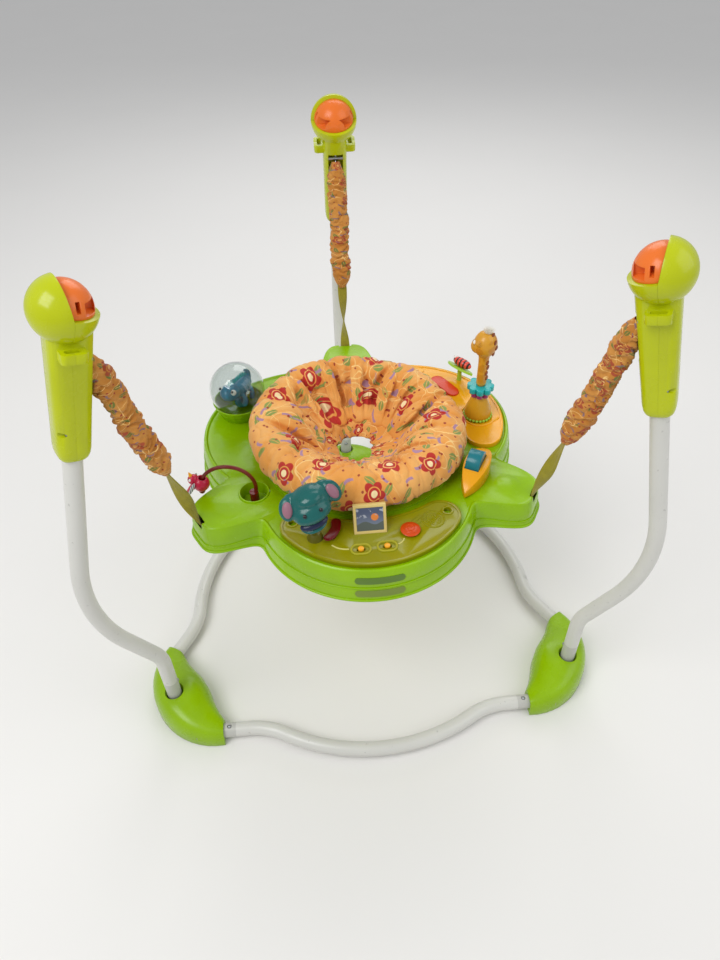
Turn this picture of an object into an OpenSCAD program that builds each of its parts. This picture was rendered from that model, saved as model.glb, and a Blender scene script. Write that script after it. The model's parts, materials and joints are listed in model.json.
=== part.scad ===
// Free-standing baby jumper: a tripod frame, a toy tray hung on three sprung straps, and a seat that turns.
// Millimetres, +Z up, the back post on +Y. The origin is on the floor at the middle of the footprint.

/* [Frame tubes] */
// Outside diameter of every frame tube
tube_d = 25; // [22:0.5:28]
// Wall of every frame tube
tube_wall = 1.5; // [1:0.1:2]
// Height of the base tubes' centre line above the floor
base_z = 18; // [17:0.5:20]
// Sweep of a base tube's bow to either side of its middle, in degrees
base_deg = 30; // [27:0.5:32]
// Distance of a base tube's straight ends from the axis
base_end_y = 269; // [266:1:272]
// Straight length of a base tube outside a foot
base_run = 43.5; // [38:0.5:50]
// Distance of the front base tube's seams from the feet
base_seam_out = 21; // [19:0.5:24]

/* [Legs] */
// Distance of the leg sockets from the axis
leg_r = 412; // [408:1:416]
// Height of the seam between leg stub and leg tube
leg_seam_z = 95; // [85:1:110]
// Height where the leg starts to bend outward
leg_bend_z = 147; // [135:1:160]
// Radius of that bend
leg_bend_r = 80; // [60:1:110]
// Outward slope of the leg after that bend, in degrees
leg_out = 26; // [22:0.5:29]
// Straight length between the two bends
leg_run = 75; // [60:1:90]
// Radius of the long bow
leg_bow_r = 285; // [260:1:310]
// Inward lean of the upper leg, in degrees
leg_lean = 13.5; // [12:0.5:14.5]
// Length of the plug of a tube inside its stub
plug_l = 40; // [30:1:45]

/* [Feet] */
// Distance of the centre of a foot's outer arc from the axis
foot_c = 313; // [309:1:317]
// Radius of that outer arc
foot_arc_r = 135; // [132:1:140]
// Width of a foot at its end faces
foot_end_w = 38; // [36:0.5:44]
// Radius of the inner edge at the middle of a foot
foot_waist_r = 41; // [36:1:48]
// Height of a foot at its end faces
foot_end_h = 35; // [34:0.5:42]
// Height of a foot at its middle
foot_crown_h = 60; // [52:1:70]
// Clear height of a foot above the floor
foot_lift = 2; // [1.5:0.5:3]
// Depth of the sockets for base tubes
foot_socket = 48; // [40:1:55]
// Height of the floor of the leg socket
leg_socket_z = 12; // [8:1:16]
// Diameter of a rubber pad
pad_d = 30; // [20:1:36]
// Depth of the pocket that holds a rubber pad
pad_pocket = 1.5; // [0.5:0.5:3]

/* [Snap buttons] */
// Diameter of a snap button
snap_d = 7; // [5:0.5:8]
// How far a snap button stands out
snap_out = 2; // [1:0.25:3]
// Travel of a snap button
snap_travel = 2.5; // [1.5:0.25:3]
// Distance of a snap button from the seam
snap_seam = 11; // [8:0.5:14]
// Length of the leaf spring behind a snap button
snap_leaf_l = 22; // [15:1:24]

/* [Post heads] */
// Height of the ball centre above the floor
head_z = 813; // [780:1:840]
// Radius of the ball
ball_r = 38.5; // [36:0.5:42]
// Length of the sleeve below the ball centre
sleeve_l = 192; // [175:1:205]
// Half depth of the sleeve towards the seat at the ball
sleeve_in = 31; // [30:0.5:33]
// Half depth of the sleeve away from the seat at the ball
sleeve_out = 24; // [22:0.5:27]
// Half width of the sleeve
sleeve_side = 20.5; // [20:0.25:24]
// Half depth of the sleeve at its foot
sleeve_foot = 20.5; // [19:0.5:23]
// Radius of the insert in the ball
insert_r = 33; // [30:0.5:35]
// Reach of a toy loop from the middle of the sleeve
loop_reach = 35.5; // [34:0.5:38]
// Depth of a toy loop along the sleeve's side
loop_w = 30; // [26:1:36]
// Height of a toy loop
loop_h = 12; // [8:1:14]
// Diameter of a head screw's shank
screw_d = 3; // [2.5:0.25:3.5]
// Diameter of a screw's head
screw_head_d = 6; // [5:0.25:6.5]

/* [Suspension] */
// Distance of the hanger pin from the leg's centre line
pin_in = 22; // [21:0.5:23]
// Distance of the hanger pin below the ball centre
pin_drop = 57; // [55:0.5:60]
// Diameter of a hanger pin
pin_d = 6; // [4:0.5:7]
// Outside radius of a spring's coil
spring_r = 9.5; // [8:0.25:10.5]
// Wire of a spring
spring_wire = 2.4; // [2:0.1:2.8]
// Curls of one spring
spring_turns = 11; // [8:1:13]
// Length from the hanger pin to the lower eye of the spring
spring_l = 212; // [200:1:225]
// Radius of a gathered spring sleeve
cover_r = 16; // [15:0.5:17]
// Length of a spring sleeve
cover_l = 222; // [210:1:235]
// Thickness of a spring sleeve's cloth
cover_t = 1.2; // [0.8:0.1:1.6]
// Width of the webbing straps
strap_w = 18; // [14:0.5:20]
// Thickness of the webbing
strap_t = 1.8; // [1.2:0.1:2.5]
// Distance of the strap anchors from the axis
anchor_r = 288; // [284:1:290]
// Height of the strap anchors
anchor_z = 399; // [396:1:402]
// Diameter of a strap anchor
anchor_d = 8; // [6:0.5:9]

/* [Tray] */
// Distance of a lobe's centre from the axis
lobe_c = 108; // [104:1:112]
// Radius of a lobe
lobe_r = 172; // [169:1:176]
// Reach of an ear from the axis
ear_reach = 303; // [300:1:308]
// Half width of an ear
ear_half = 56; // [52:1:62]
// Height of the lobes' lower edge
tray_z = 365; // [362:1:368]
// How much higher the ears' lower edge lies
ear_lift = 15; // [10:1:18]
// Height of the parting line between the tray's two shells
split_z = 392; // [388:1:394]
// Height of the deck
deck_z = 421; // [419:0.5:422]
// How much higher the deck of an ear lies
ear_rise = 7; // [4:0.5:8]
// Wall of the tray's shells
tray_wall = 3; // [2.5:0.25:3.5]
// Radius of the seat's opening in the tray
tray_hole_r = 152; // [150:0.5:154]
// Diameter of the raised boss on the right ear
boss_d = 44; // [36:1:48]
// Height of that boss
boss_h = 5; // [3:0.5:7]

/* [Panels and buttons] */
// Thickness of the front and side panels
panel_t = 8; // [7:0.5:9]
// Inset of a panel's outer edge from the lobe's edge
panel_inset = 15; // [14:0.5:17]
// Radius of a panel's inner edge about the axis
panel_in_r = 178; // [176:0.5:180]
// Radius of a panel's round ends
panel_end_r = 30; // [29:0.5:32]
// Depth of the sunk field of a panel
panel_sink = 1.5; // [1:0.25:2]
// Width of a panel's raised border
panel_rim = 4; // [3:0.5:5]
// Depth of the sound box under the front panel
sound_h = 30; // [24:1:34]
// Travel of the press buttons
press_travel = 2.5; // [1.5:0.25:3]
// How far the press buttons stand out of the panel
press_out = 4.5; // [3.5:0.25:6]
// Diameter of the round button
round_d = 24; // [20:0.5:28]
// Length of the bean button
bean_l = 27; // [22:0.5:30]
// Width of the bean button
bean_w = 13; // [10:0.5:15]
// Length of the capsule button on the side panel
capsule_l = 66; // [60:1:70]
// Width of the capsule button
capsule_w = 22; // [18:0.5:24]
// Travel of a slide switch to either side
switch_travel = 4; // [3:0.25:5]
// Diameter of a slide switch's knob
switch_d = 9; // [7:0.5:10]
// Width of the picture card
card_w = 48; // [44:1:50]
// Depth of the picture card's foot
card_l = 25; // [22:0.5:26]
// Height of the leaning picture card
card_h = 39; // [32:1:42]
// Thickness of the picture card at its top
card_t = 5; // [4:0.5:7]
// Diameter of the toy sockets in the panels
toy_socket_d = 12; // [10:0.5:14]

/* [Toys] */
// Radius of the clear bubble
bubble_r = 47; // [45:0.5:48]
// Wall of the clear bubble
bubble_t = 2; // [1.5:0.25:3]
// Height of the bubble's floor above the deck
bubble_lift = 2; // [1.5:0.25:4]
// Distance of the bubble from the axis
bubble_y = 230; // [227:0.5:233]
// Diameter of the toys' axles
axle_d = 5; // [4:0.25:6]
// Radius of the toy cup on the left ear
cup_r = 24; // [20:0.5:26]
// Depth of the toy cup
cup_h = 26; // [20:1:30]
// Distance of the toy cup from the axis
cup_y = 200; // [198:0.5:203]
// Diameter of the arched wire
wire_d = 6; // [4:0.5:7]
// Radius of the arch
arch_r = 42; // [40:0.5:44]
// Height of the arch's centre above the ear
arch_up = 12; // [9:0.5:14]
// Turn of the arch away from the left post, in degrees
arch_turn = 35; // [25:1:40]
// Radius of the bird bead
bead_r = 10; // [8.5:0.5:11]
// Radius of the elephant's skull
elephant_r = 25; // [22:0.5:27]
// Height of the elephant's pivot
elephant_z = 492; // [488:1:500]
// Diameter of the elephant's stem
stem_d = 8; // [6:0.5:9]
// Height of the giraffe's head
giraffe_z = 570; // [550:1:585]
// Diameter of the giraffe's neck
neck_d = 13; // [11:0.5:15]
// Height of the lower flower ring
ring_z = 474; // [470:1:480]
// Thickness of a flower ring
ring_t = 9; // [7:0.5:11]
// Length of the roller pod
pod_l = 112; // [100:1:116]
// Width of the roller pod
pod_w = 38; // [34:0.5:40]
// Height of the roller pod
pod_h = 30; // [26:1:34]
// Radius of the roller
roller_r = 20; // [18:0.5:22]
// Width of the roller
roller_w = 22; // [18:0.5:24]
// Distance of the roller pod from the axis
pod_y = 201; // [199:0.5:204]

/* [Seat] */
// Outer radius of the padded seat ring
seat_r = 173; // [168:0.5:175]
// Radius of the opening inside the padded ring
seat_hole_r = 76; // [72:1:82]
// Height of the top of the padded ring
seat_top = 502; // [494:1:508]
// Gathers around the padded ring
seat_gathers = 11; // [7:1:14]
// Depth of the gathers
seat_fold = 6; // [3:0.5:8]
// Thickness of the seat ring's flange
flange_t = 3; // [2.5:0.25:4]
// Thickness of the sling's cloth
sling_t = 2.5; // [2:0.25:3]
// Height of the lowest point of the sling
sling_z = 262; // [245:1:280]
// Radius of a leg hole
leg_hole_r = 50; // [44:1:54]
// Direction of the first leg hole, in degrees
leg_hole_turn = 88; // [60:1:120]
// Angle between the two leg holes, in degrees
leg_hole_spread = 100; // [85:1:110]

/* [Hidden] */
// Clearance of a fit, to each side
fit = 0.3;
// Gap left between two flat faces that rest on each other
rest = 0.1;
// Turn of each post from the back post
POST_TURN = [["back", 0], ["left", 120], ["right", 240]];
bore_d = tube_d - 2 * tube_wall;
plug_d = bore_d - 2 * fit;
plug_bore = plug_d - 2 * tube_wall;
tube_r = tube_d / 2;
big = 400;
// Bends lap the straight runs by a hair, and are a hair slimmer there
lap_l = 1.5;
lap_d = 0.2;

// Base tube: where its reverse bends start, and the two radii that meet there
foot_face_x = foot_c * cos(30);
base_bend_x = foot_face_x - base_run;
base_seam_x = foot_face_x - base_seam_out;
base_bend_r = base_bend_x / tan(base_deg) - base_end_y;
base_bow_r = base_bend_x / sin(base_deg) - base_bend_r;
foot_tube_rho = base_end_y - foot_c / 2;
base_tip_x = foot_face_x + foot_socket - fit;

// Leg: end of the bow, and the ball at the end of the straight upper run
bow_end_r = leg_r + leg_bend_r * (1 - cos(leg_out)) + leg_run * sin(leg_out)
    + leg_bow_r * (cos(leg_lean) - cos(leg_out));
bow_end_z = leg_bend_z + leg_bend_r * sin(leg_out) + leg_run * cos(leg_out)
    + leg_bow_r * (sin(leg_out) + sin(leg_lean));
bow_apex_r = bow_end_r + leg_bow_r * (1 - cos(leg_lean));
upper_run = (head_z - bow_end_z) / cos(leg_lean);
head_r = bow_end_r - upper_run * sin(leg_lean);
swage_l = 6;
tube_top_drop = 12;

// The axis of the tripod, from the middle of the footprint
axis_y = (base_bow_r - bow_apex_r) / 2;

// Hanger pin in the post's plane, and the line from there to the strap anchor
pin_y = head_r - pin_in * cos(leg_lean) + pin_drop * sin(leg_lean);
pin_z = head_z - pin_in * sin(leg_lean) - pin_drop * cos(leg_lean);
line_tilt = atan2(pin_y - anchor_r, pin_z - anchor_z);
line_l = norm([pin_y - anchor_r, pin_z - anchor_z]);
eye_r = pin_d / 2 + fit + spring_wire / 2;

// Drawn-in ends of a spring sleeve, which close on the coil
cover_neck_r = spring_r + cover_t;

// Tray levels
crest_h = 3.5;
panel_z = deck_z + rest;
panel_top = panel_z + panel_t;
field_z = panel_top - panel_sink;
ear_z = deck_z + ear_rise;
seat_z = deck_z + fit + flange_t;
pad_base_z = seat_z + fit;
pad_mid_r = (seat_r + seat_hole_r) / 2;
pad_mid_z = (seat_top + pad_base_z) / 2;
wall_bottom_z = deck_z - 21;
ring_wall_r = tray_hole_r - 1.5;

// Places of toys in the frame of their lobe, whose middle lies on -Y
BEAN_AT = [-57, -198];
ROUND_AT = [55, -206];
CARD_AT = [-3, -193];
SWITCH_AT = [[-20, -234], [18, -232]];
SOCKET_AT = [[-116, -172], [116, -172]];
ELEPHANT_AT = [-84, -204];
CAPSULE_AT = [35, -214];
GIRAFFE_AT = [-62, -205];
OVAL_AT = [108, -200];
LEAF_AT = [36, -249];
bean_turn = 62;
capsule_turn = -1.5;
oval_turn = 40;
leaf_turn = 6;

$fn = 64;

// Helpers

// Moves the tripod's axis to its place over the footprint
module on_axis() translate([0, axis_y, 0]) children();

// Repeats what is drawn for the back post at all three posts
module each_post() for (post = POST_TURN) rotate([0, 0, post[1]]) children();

// Closed skin over rings of points; the last ring meets the first one where the skin is a closed loop
module skin(rings, closed = false) {
    n = len(rings[0]);
    m = len(rings);
    spans = closed ? m : m - 1;
    sides = [
        for (i = [0 : spans - 1], j = [0 : n - 1], half = [0, 1])
            let (k = (j + 1) % n, a = i * n, b = ((i + 1) % m) * n)
            half == 0 ? [a + j, b + j, b + k] : [a + j, b + k, a + k]
    ];
    caps = closed ? [] : concat(
        [for (j = [1 : n - 2]) [0, j, j + 1]],
        [for (j = [1 : n - 2]) [(m - 1) * n, (m - 1) * n + j + 1, (m - 1) * n + j]]
    );
    polyhedron(points = [for (ring = rings) each ring], faces = concat(sides, caps), convexity = 8);
}

// Ring section of a tube
module tube_section(d, bore) difference() {
    circle(d = d);
    circle(d = bore);
}

// Straight tube along +Z
module tube_run(l) linear_extrude(l) tube_section(tube_d, bore_d);

// Straight end along +Z from a seam at zero, with a slimmer plug below the seam
module plug_end(run) rotate_extrude() polygon([
    [plug_bore / 2, -plug_l], [plug_d / 2, -plug_l], [plug_d / 2, 0], [tube_r, 0],
    [tube_r, run], [bore_d / 2, run], [bore_d / 2, swage_l], [plug_bore / 2, swage_l]
]);

// Arc of a bent tube about Z, lapped at both ends
module tube_arc(r, from, deg) {
    lap = lap_l / r * 180 / PI;
    rotate([0, 0, from - lap]) rotate_extrude(angle = deg + 2 * lap, $fn = 96)
        translate([r, 0]) tube_section(tube_d - lap_d, bore_d + lap_d);
}

// Tube bend that starts along +Z and turns towards +Y, or towards -Y for a negative angle
module tube_bend(r, deg)
    rotate([0, 0, deg < 0 ? 180 : 0]) rotate([90, 0, -90]) translate([-r, 0, 0]) tube_arc(r, 0, abs(deg));

// Carries on from the end of such a bend
module after_bend(r, deg)
    translate([0, sign(deg) * r * (1 - cos(deg)), r * sin(abs(deg))])
    rotate([-deg, 0, 0]) children();

// Rounded slot outline along X, by its overall length and width
module capsule_2d(l, w) {
    square([l - w, w], center = true);
    for (side = [-1, 1]) translate([side * (l - w) / 2, 0]) circle(d = w);
}

// Frame of a base tube: its straight ends run along X, its bow lies towards -Y
module base_bow() {
    rotate([0, 0, -90 - base_deg]) rotate_extrude(angle = 2 * base_deg, $fn = 128)
        translate([base_bow_r, 0]) tube_section(tube_d, bore_d);
    translate([base_bend_x, -base_end_y - base_bend_r, 0]) tube_arc(base_bend_r, 90, base_deg);
    translate([-base_bend_x, -base_end_y - base_bend_r, 0]) tube_arc(base_bend_r, 90 - base_deg, base_deg);
}

// Start of a straight run along X at one distance from the middle, on either side
module base_side(side, x) translate([side * x, -base_end_y, 0]) rotate([0, side * 90, 0]) children();

module base_tube() translate([0, 0, base_z]) {
    base_bow();
    for (side = [-1, 1]) base_side(side, base_bend_x) tube_run(base_tip_x - base_bend_x);
}

// Feet, drawn for the back post

function foot_inner(deg) = foot_waist_r
    + (foot_tube_rho - foot_end_w / 2 - foot_waist_r) * pow(abs(deg) / 60, 2.6);
function foot_outer(deg) = foot_arc_r
    + (foot_tube_rho + foot_end_w / 2 - foot_arc_r) * pow(abs(deg) / 60, 4);
function foot_height(deg) = foot_end_h + (foot_crown_h - foot_end_h) * pow(cos(deg * 1.5), 1.2);

// D section of a foot in the plane that stands at one angle of its arc
function foot_section(deg, points = 16) = [
    for (i = [0 : points])
        let (
            t = 180 * i / points,
            mid = (foot_outer(deg) + foot_inner(deg)) / 2,
            half = (foot_outer(deg) - foot_inner(deg)) / 2,
            rho = mid + half * sign(cos(t)) * pow(abs(cos(t)), 0.55),
            z = foot_lift + (foot_height(deg) - foot_lift) * pow(sin(t), 0.62)
        )
        [rho * sin(deg), foot_c + rho * cos(deg), z]
];

module foot() difference() {
    skin([for (k = [-9 : 9]) foot_section(k * 60 / 9)]);
    for (side = [0, 1]) mirror([side, 0, 0])
        translate([0, foot_c, 0]) rotate([0, 0, -60]) translate([-foot_socket, foot_tube_rho, base_z])
        rotate([0, 90, 0]) cylinder(d = tube_d + 2 * fit, h = 2 * foot_socket);
    translate([0, leg_r, leg_socket_z]) cylinder(d = tube_d + 2 * fit, h = big);
    translate([0, leg_r, foot_crown_h - 16]) cylinder(d1 = tube_d + 2 * fit, d2 = tube_d + 9, h = 16);
    foot_pad_places() cylinder(d = pad_d + 2 * fit, h = 2 * pad_pocket, center = true);
}

module foot_pad_places() for (deg = [-34, 34])
    translate([0, foot_c, foot_lift]) rotate([0, 0, deg]) translate([0, foot_tube_rho - 10, 0]) children();

module foot_left() color("yellowgreen") rotate([0, 0, 120]) foot();
module foot_right() color("yellowgreen") rotate([0, 0, 240]) foot();
module foot_back() color("yellowgreen") foot();

module foot_pads() color("dimgray") each_post() foot_pad_places()
    translate([0, 0, -foot_lift]) cylinder(d = pad_d, h = foot_lift + pad_pocket - rest);

// Base tubes and stubs

module base_tube_front() color("whitesmoke") difference() {
    translate([0, 0, base_z]) {
        base_bow();
        for (side = [-1, 1]) base_side(side, base_seam_x)
            rotate([180, 0, 0]) plug_end(base_seam_x - base_bend_x);
    }
    for (side = [0, 1]) mirror([side, 0, 0]) base_button_place() snap_hole();
}
module base_tube_left() color("whitesmoke") rotate([0, 0, -120]) base_tube();
module base_tube_right() color("whitesmoke") rotate([0, 0, 120]) base_tube();

// Stub tubes that stand in the feet: three for the legs, two for the front base tube
module stub_tubes() color("gainsboro") {
    each_post() difference() {
        translate([0, leg_r, leg_socket_z + fit]) tube_run(leg_seam_z - rest - leg_socket_z - fit);
        leg_button_place() snap_hole();
    }
    for (side = [-1, 1]) difference() {
        translate([0, 0, base_z]) base_side(side, base_seam_x + rest)
            tube_run(base_tip_x - base_seam_x - rest);
        mirror([side < 0 ? 1 : 0, 0, 0]) base_button_place() snap_hole();
    }
}

// Snap buttons: local +Z points out of the tube, local X runs along it, away from the seam

module leg_button_place() translate([0, leg_r, leg_seam_z - snap_seam]) rotate([0, 90, -90]) children();
module base_button_place() translate([base_seam_x + snap_seam, -base_end_y, base_z]) children();
module snap_hole() cylinder(d = snap_d + 2 * fit, h = tube_d);

snap_collar_d = snap_d + 2;
snap_seat = sqrt(pow(plug_bore / 2, 2) - pow(snap_collar_d / 2, 2)) - fit;

module snap_button() {
    translate([0, 0, snap_seat - 1]) cylinder(d = snap_d, h = tube_r + snap_out - snap_d / 2 - snap_seat + 1);
    translate([0, 0, tube_r + snap_out - snap_d / 2]) intersection() {
        sphere(d = snap_d);
        cylinder(d = snap_d + 1, h = snap_d);
    }
    translate([0, 0, snap_seat - 1]) cylinder(d = snap_collar_d, h = 1);
    translate([0, -snap_d / 2 + 0.5, snap_seat - 1]) cube([snap_leaf_l, snap_d - 1, 0.8]);
}

module leg_button_left() color("silver") rotate([0, 0, 120]) leg_button_place() snap_button();
module leg_button_right() color("silver") rotate([0, 0, 240]) leg_button_place() snap_button();
module leg_button_back() color("silver") leg_button_place() snap_button();
module base_button_left() color("silver") mirror([1, 0, 0]) base_button_place() snap_button();
module base_button_right() color("silver") base_button_place() snap_button();

// Legs, drawn for the back post

module leg_tube() difference() {
    translate([0, leg_r, leg_seam_z]) {
        plug_end(leg_bend_z - leg_seam_z);
        translate([0, 0, leg_bend_z - leg_seam_z]) {
            tube_bend(leg_bend_r, leg_out);
            after_bend(leg_bend_r, leg_out) {
                tube_run(leg_run);
                translate([0, 0, leg_run]) {
                    tube_bend(leg_bow_r, -leg_out - leg_lean);
                    after_bend(leg_bow_r, -leg_out - leg_lean) tube_run(upper_run - tube_top_drop);
                }
            }
        }
    }
    leg_button_place() snap_hole();
}

module leg_tube_left() color("whitesmoke") rotate([0, 0, 120]) leg_tube();
module leg_tube_right() color("whitesmoke") rotate([0, 0, 240]) leg_tube();
module leg_tube_back() color("whitesmoke") leg_tube();

// Post heads, drawn in the frame of the ball: +Z up the leg, +Y away from the seat

module head_place() translate([0, head_r, head_z]) rotate([leg_lean, 0, 0]) children();

// Ring of the sleeve, with its own half depth on either side
function sleeve_ring(z, inward, outward, side, points = 24) = [
    for (i = [0 : points - 1])
        let (t = 360 * i / points)
        [
            side * sign(cos(t)) * pow(abs(cos(t)), 0.6),
            (sin(t) > 0 ? outward : inward) * sign(sin(t)) * pow(abs(sin(t)), 0.6),
            z
        ]
];

function sleeve_at(share, shrink = 1) = sleeve_ring(
    -sleeve_l * share,
    shrink * (sleeve_in + (sleeve_foot - sleeve_in) * share),
    shrink * (sleeve_out + (sleeve_foot - sleeve_out) * share),
    shrink * (sleeve_side + (sleeve_foot - sleeve_side) * share)
);

module sleeve() skin([
    sleeve_at(1, 0.78), sleeve_at(0.985, 0.88), sleeve_at(0.96, 0.96), sleeve_at(0.92), sleeve_at(0.6),
    sleeve_at(0.3), sleeve_at(0.12)
]);

// Loop at each side of the sleeve for a toy link
loop_gap = 7;
loop_bar = 5.5;
module toy_loops() {
    round_r = 6;
    for (side = [-1, 1]) translate([0, 0, -ball_r - loop_h]) linear_extrude(loop_h) difference() {
        union() {
            translate([side * (loop_reach - round_r) / 2, 0])
                square([loop_reach - round_r, loop_w], center = true);
            translate([side * loop_reach / 2, 0])
                square([loop_reach, loop_w - 2 * round_r], center = true);
            for (end = [-1, 1]) translate([side * (loop_reach - round_r), end * (loop_w / 2 - round_r)])
                circle(r = round_r);
        }
        translate([side * (loop_reach - loop_bar - loop_gap / 2), 0]) rotate(90)
            capsule_2d(loop_w - 2 * loop_bar, loop_gap);
    }
}

// Part of a ball between two angles: 0 points to the seat, 90 up, 180 away from the seat, 270 down
module ball_wedge(r, from, to) rotate([90, 0, -90]) rotate([0, 0, from])
    rotate_extrude(angle = to - from, $fn = 96) intersection() {
        circle(r = r);
        translate([0, -r]) square([r, 2 * r]);
    }

// Half of a head's body, away from the seat or towards it
module head_half(outward) difference() {
    union() {
        translate([0, outward ? rest : -rest, 0])
            ball_wedge(ball_r, outward ? notch_back : 270, outward ? 270 : 360 + notch_floor);
        intersection() {
            union() {
                sleeve();
                toy_loops();
            }
            half_space(outward);
        }
    }
    translate([0, 0, -big - tube_top_drop + rest]) cylinder(d = tube_d + 2 * fit, h = big);
    head_screw_places() {
        rotate([90, 0, 0]) cylinder(d = screw_d + fit, h = 2 * screw_y, center = true);
        translate([0, screw_y, 0]) rotate([-90, 0, 0]) cylinder(d = screw_head_d + 2 * fit, h = big);
    }
}

notch_floor = -8;
notch_back = 100;
screw_y = 9;
screw_head_h = 2.5;
screw_x = (tube_r + fit + sleeve_side) / 2;
module head_screw_places() for (side = [-1, 1]) translate([side * screw_x, 0, -0.78 * sleeve_l]) children();

module half_space(outward) translate([-big, outward ? rest / 2 : -2 * big - rest / 2, -big])
    cube([2 * big, 2 * big, 2 * big]);

module head_outer() head_place() head_half(true);

slot_w = 2 * cover_neck_r + 4;
slot_drop = 112;
module head_inner() head_place() difference() {
    head_half(false);
    translate([-slot_w / 2, -big - tube_r - 2, -slot_drop])
        cube([slot_w, big, slot_drop - ball_r - loop_h + 3]);
    hanger_pin(pin_d + 2 * rest, 2 * rest);
}

module hanger_pin(d, extra = 0) translate([0, -pin_in, -pin_drop]) rotate([0, 90, 0])
    cylinder(d = d, h = slot_w + 4 + extra, center = true);

// Insert in the ball's notch, with a slot and a window in each flank
notch_mid = (notch_back + notch_floor) / 2;
insert_shift = fit / sin((notch_back - notch_floor) / 2);
module head_insert() head_place() difference() {
    translate([0, -insert_shift * cos(notch_mid), insert_shift * sin(notch_mid)])
        ball_wedge(insert_r, notch_floor, notch_back);
    for (side = [-1, 1]) {
        translate([side * insert_r, -7, 12]) cube([2 * insert_r - 24, 5, 12], center = true);
        translate([side * insert_r, -22, 8]) cube([2 * insert_r - 14, 14, 14], center = true);
    }
}

module head_outer_left() color("yellowgreen") rotate([0, 0, 120]) head_outer();
module head_outer_right() color("yellowgreen") rotate([0, 0, 240]) head_outer();
module head_outer_back() color("yellowgreen") head_outer();
module head_inner_left() color("yellowgreen") rotate([0, 0, 120]) head_inner();
module head_inner_right() color("yellowgreen") rotate([0, 0, 240]) head_inner();
module head_inner_back() color("yellowgreen") head_inner();
module head_inserts() color("coral") each_post() head_insert();

module head_screws() color("silver") each_post() head_place() head_screw_places() {
    translate([0, screw_y + rest, 0]) rotate([-90, 0, 0]) cylinder(d = screw_head_d, h = screw_head_h);
    translate([0, screw_y + rest, 0]) rotate([90, 0, 0]) cylinder(d = screw_d, h = 2 * screw_y - 1);
}

module hanger_pins() color("silver") each_post() head_place() hanger_pin(pin_d);

// Suspension, drawn on the line from hanger pin to strap anchor: local -Z runs down the line

module line_place() translate([0, pin_y, pin_z]) rotate([-line_tilt, 0, 0]) children();

spring_rings = 8;
coil_r = spring_r - spring_wire / 2;
coil_top = eye_r + 2 * spring_wire;

// Centre line of a spring: straight ends on the line, curls between them
function spring_point(i) =
    let (
        n = spring_turns * spring_rings,
        run = spring_l - 2 * coil_top,
        spread = min(1, min(i, n - i) / spring_rings * 1.5),
        turn = 360 * i / spring_rings
    )
    [coil_r * spread * cos(turn), coil_r * spread * sin(turn), -coil_top - run * i / n];
spring_path = concat(
    [[0, 0, -coil_top + 1.5 * spring_wire]],
    [for (i = [0 : spring_turns * spring_rings]) spring_point(i)],
    [[0, 0, -spring_l + coil_top - 1.5 * spring_wire]]
);

function unit(v) = v / norm(v);
// Rings of a spring's wire; one side of each ring faces away from the spring's line
function wire_rings(path, r, sides) = [
    for (i = [0 : len(path) - 1])
        let (
            along = unit(path[min(i + 1, len(path) - 1)] - path[max(i - 1, 0)]),
            turn = 360 * max(0, min(i - 1, spring_turns * spring_rings)) / spring_rings,
            away = [cos(turn), sin(turn), 0],
            side = unit(away - (away * along) * along),
            up = cross(along, side)
        )
        [for (j = [0 : sides - 1])
            let (t = 360 * j / sides) path[i] + r * (cos(t) * side + sin(t) * up)]
];

// Least gap of a spring to itself, over half a curl apart
spring_gap = min([
    for (i = [0 : len(spring_path) - 1], j = [i + spring_rings / 2 + 1 : 1 : len(spring_path) - 1])
        norm(spring_path[i] - spring_path[j])
]) - spring_wire;
echo(spring_gap_mm = spring_gap);

// Eye at the end of a spring, around a pin that lies along X
module spring_eye() rotate([0, 90, 0]) rotate_extrude($fn = 48)
    translate([eye_r, 0]) circle(d = spring_wire, $fn = 24);

module springs() color("silver") each_post() line_place() {
    skin(wire_rings(spring_path, spring_wire / 2, 6));
    for (z = [0, -spring_l]) translate([0, 0, z]) {
        spring_eye();
        mirror([0, 0, z == 0 ? 0 : 1]) translate([0, 0, -coil_top])
            cylinder(d = spring_wire, h = coil_top - eye_r);
    }
}

// Gathered sleeve: a cloth tube whose waves tighten towards its drawn-in ends
cover_top = 14;
cover_waves = 9;
cover_steps = 24;
function cover_radius(share, turn) =
    let (
        ends = min(1, min(share, 1 - share) * 5),
        wave = sin(360 * cover_waves * share + 40 * sin(turn)) * 1.1
    )
    cover_neck_r + (cover_r - cover_neck_r) * sin(90 * ends) + wave * ends;
function cover_ring(share, inset, sides = 12) = [
    for (j = [0 : sides - 1])
        let (t = 360 * j / sides, r = cover_radius(share, t) - inset)
        [r * cos(t), r * sin(t), -cover_top - (cover_l - cover_top) * share]
];
module spring_cover() line_place() skin(concat(
    [for (i = [0 : cover_steps]) cover_ring(1 - i / cover_steps, 0)],
    [for (i = [0 : 5]) cover_ring(i / 5, cover_t + (i % 5 == 0 ? 0 : 1))]
), closed = true);
module spring_covers() color("sandybrown") each_post() spring_cover();

// Webbing strap: turned flat at the spring's eye, along the tray's edge at the anchor
strap_top = spring_l + eye_r + spring_wire / 2 + fit;
strap_end = line_l - anchor_d / 2 - fit;
module strap() line_place() {
    steps = 10;
    skin([
        for (i = [0 : steps])
            let (share = i / steps, turn = 90 * min(1, share * 1.6))
            [for (p = [[1, 1], [-1, 1], [-1, -1], [1, -1]])
                let (x = p[0] * strap_w / 2, y = p[1] * strap_t / 2)
                [
                    x * cos(turn) - y * sin(turn),
                    x * sin(turn) + y * cos(turn),
                    -strap_end + (strap_end - strap_top) * share
                ]]
    ]);
}
module straps() color("olive") each_post() strap();

module strap_anchor_place() translate([0, anchor_r, anchor_z]) rotate([0, 90, 0]) children();
anchor_l = 44;
module strap_anchors() color("silver") each_post() strap_anchor_place()
    cylinder(d = anchor_d, h = anchor_l, center = true);

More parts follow.
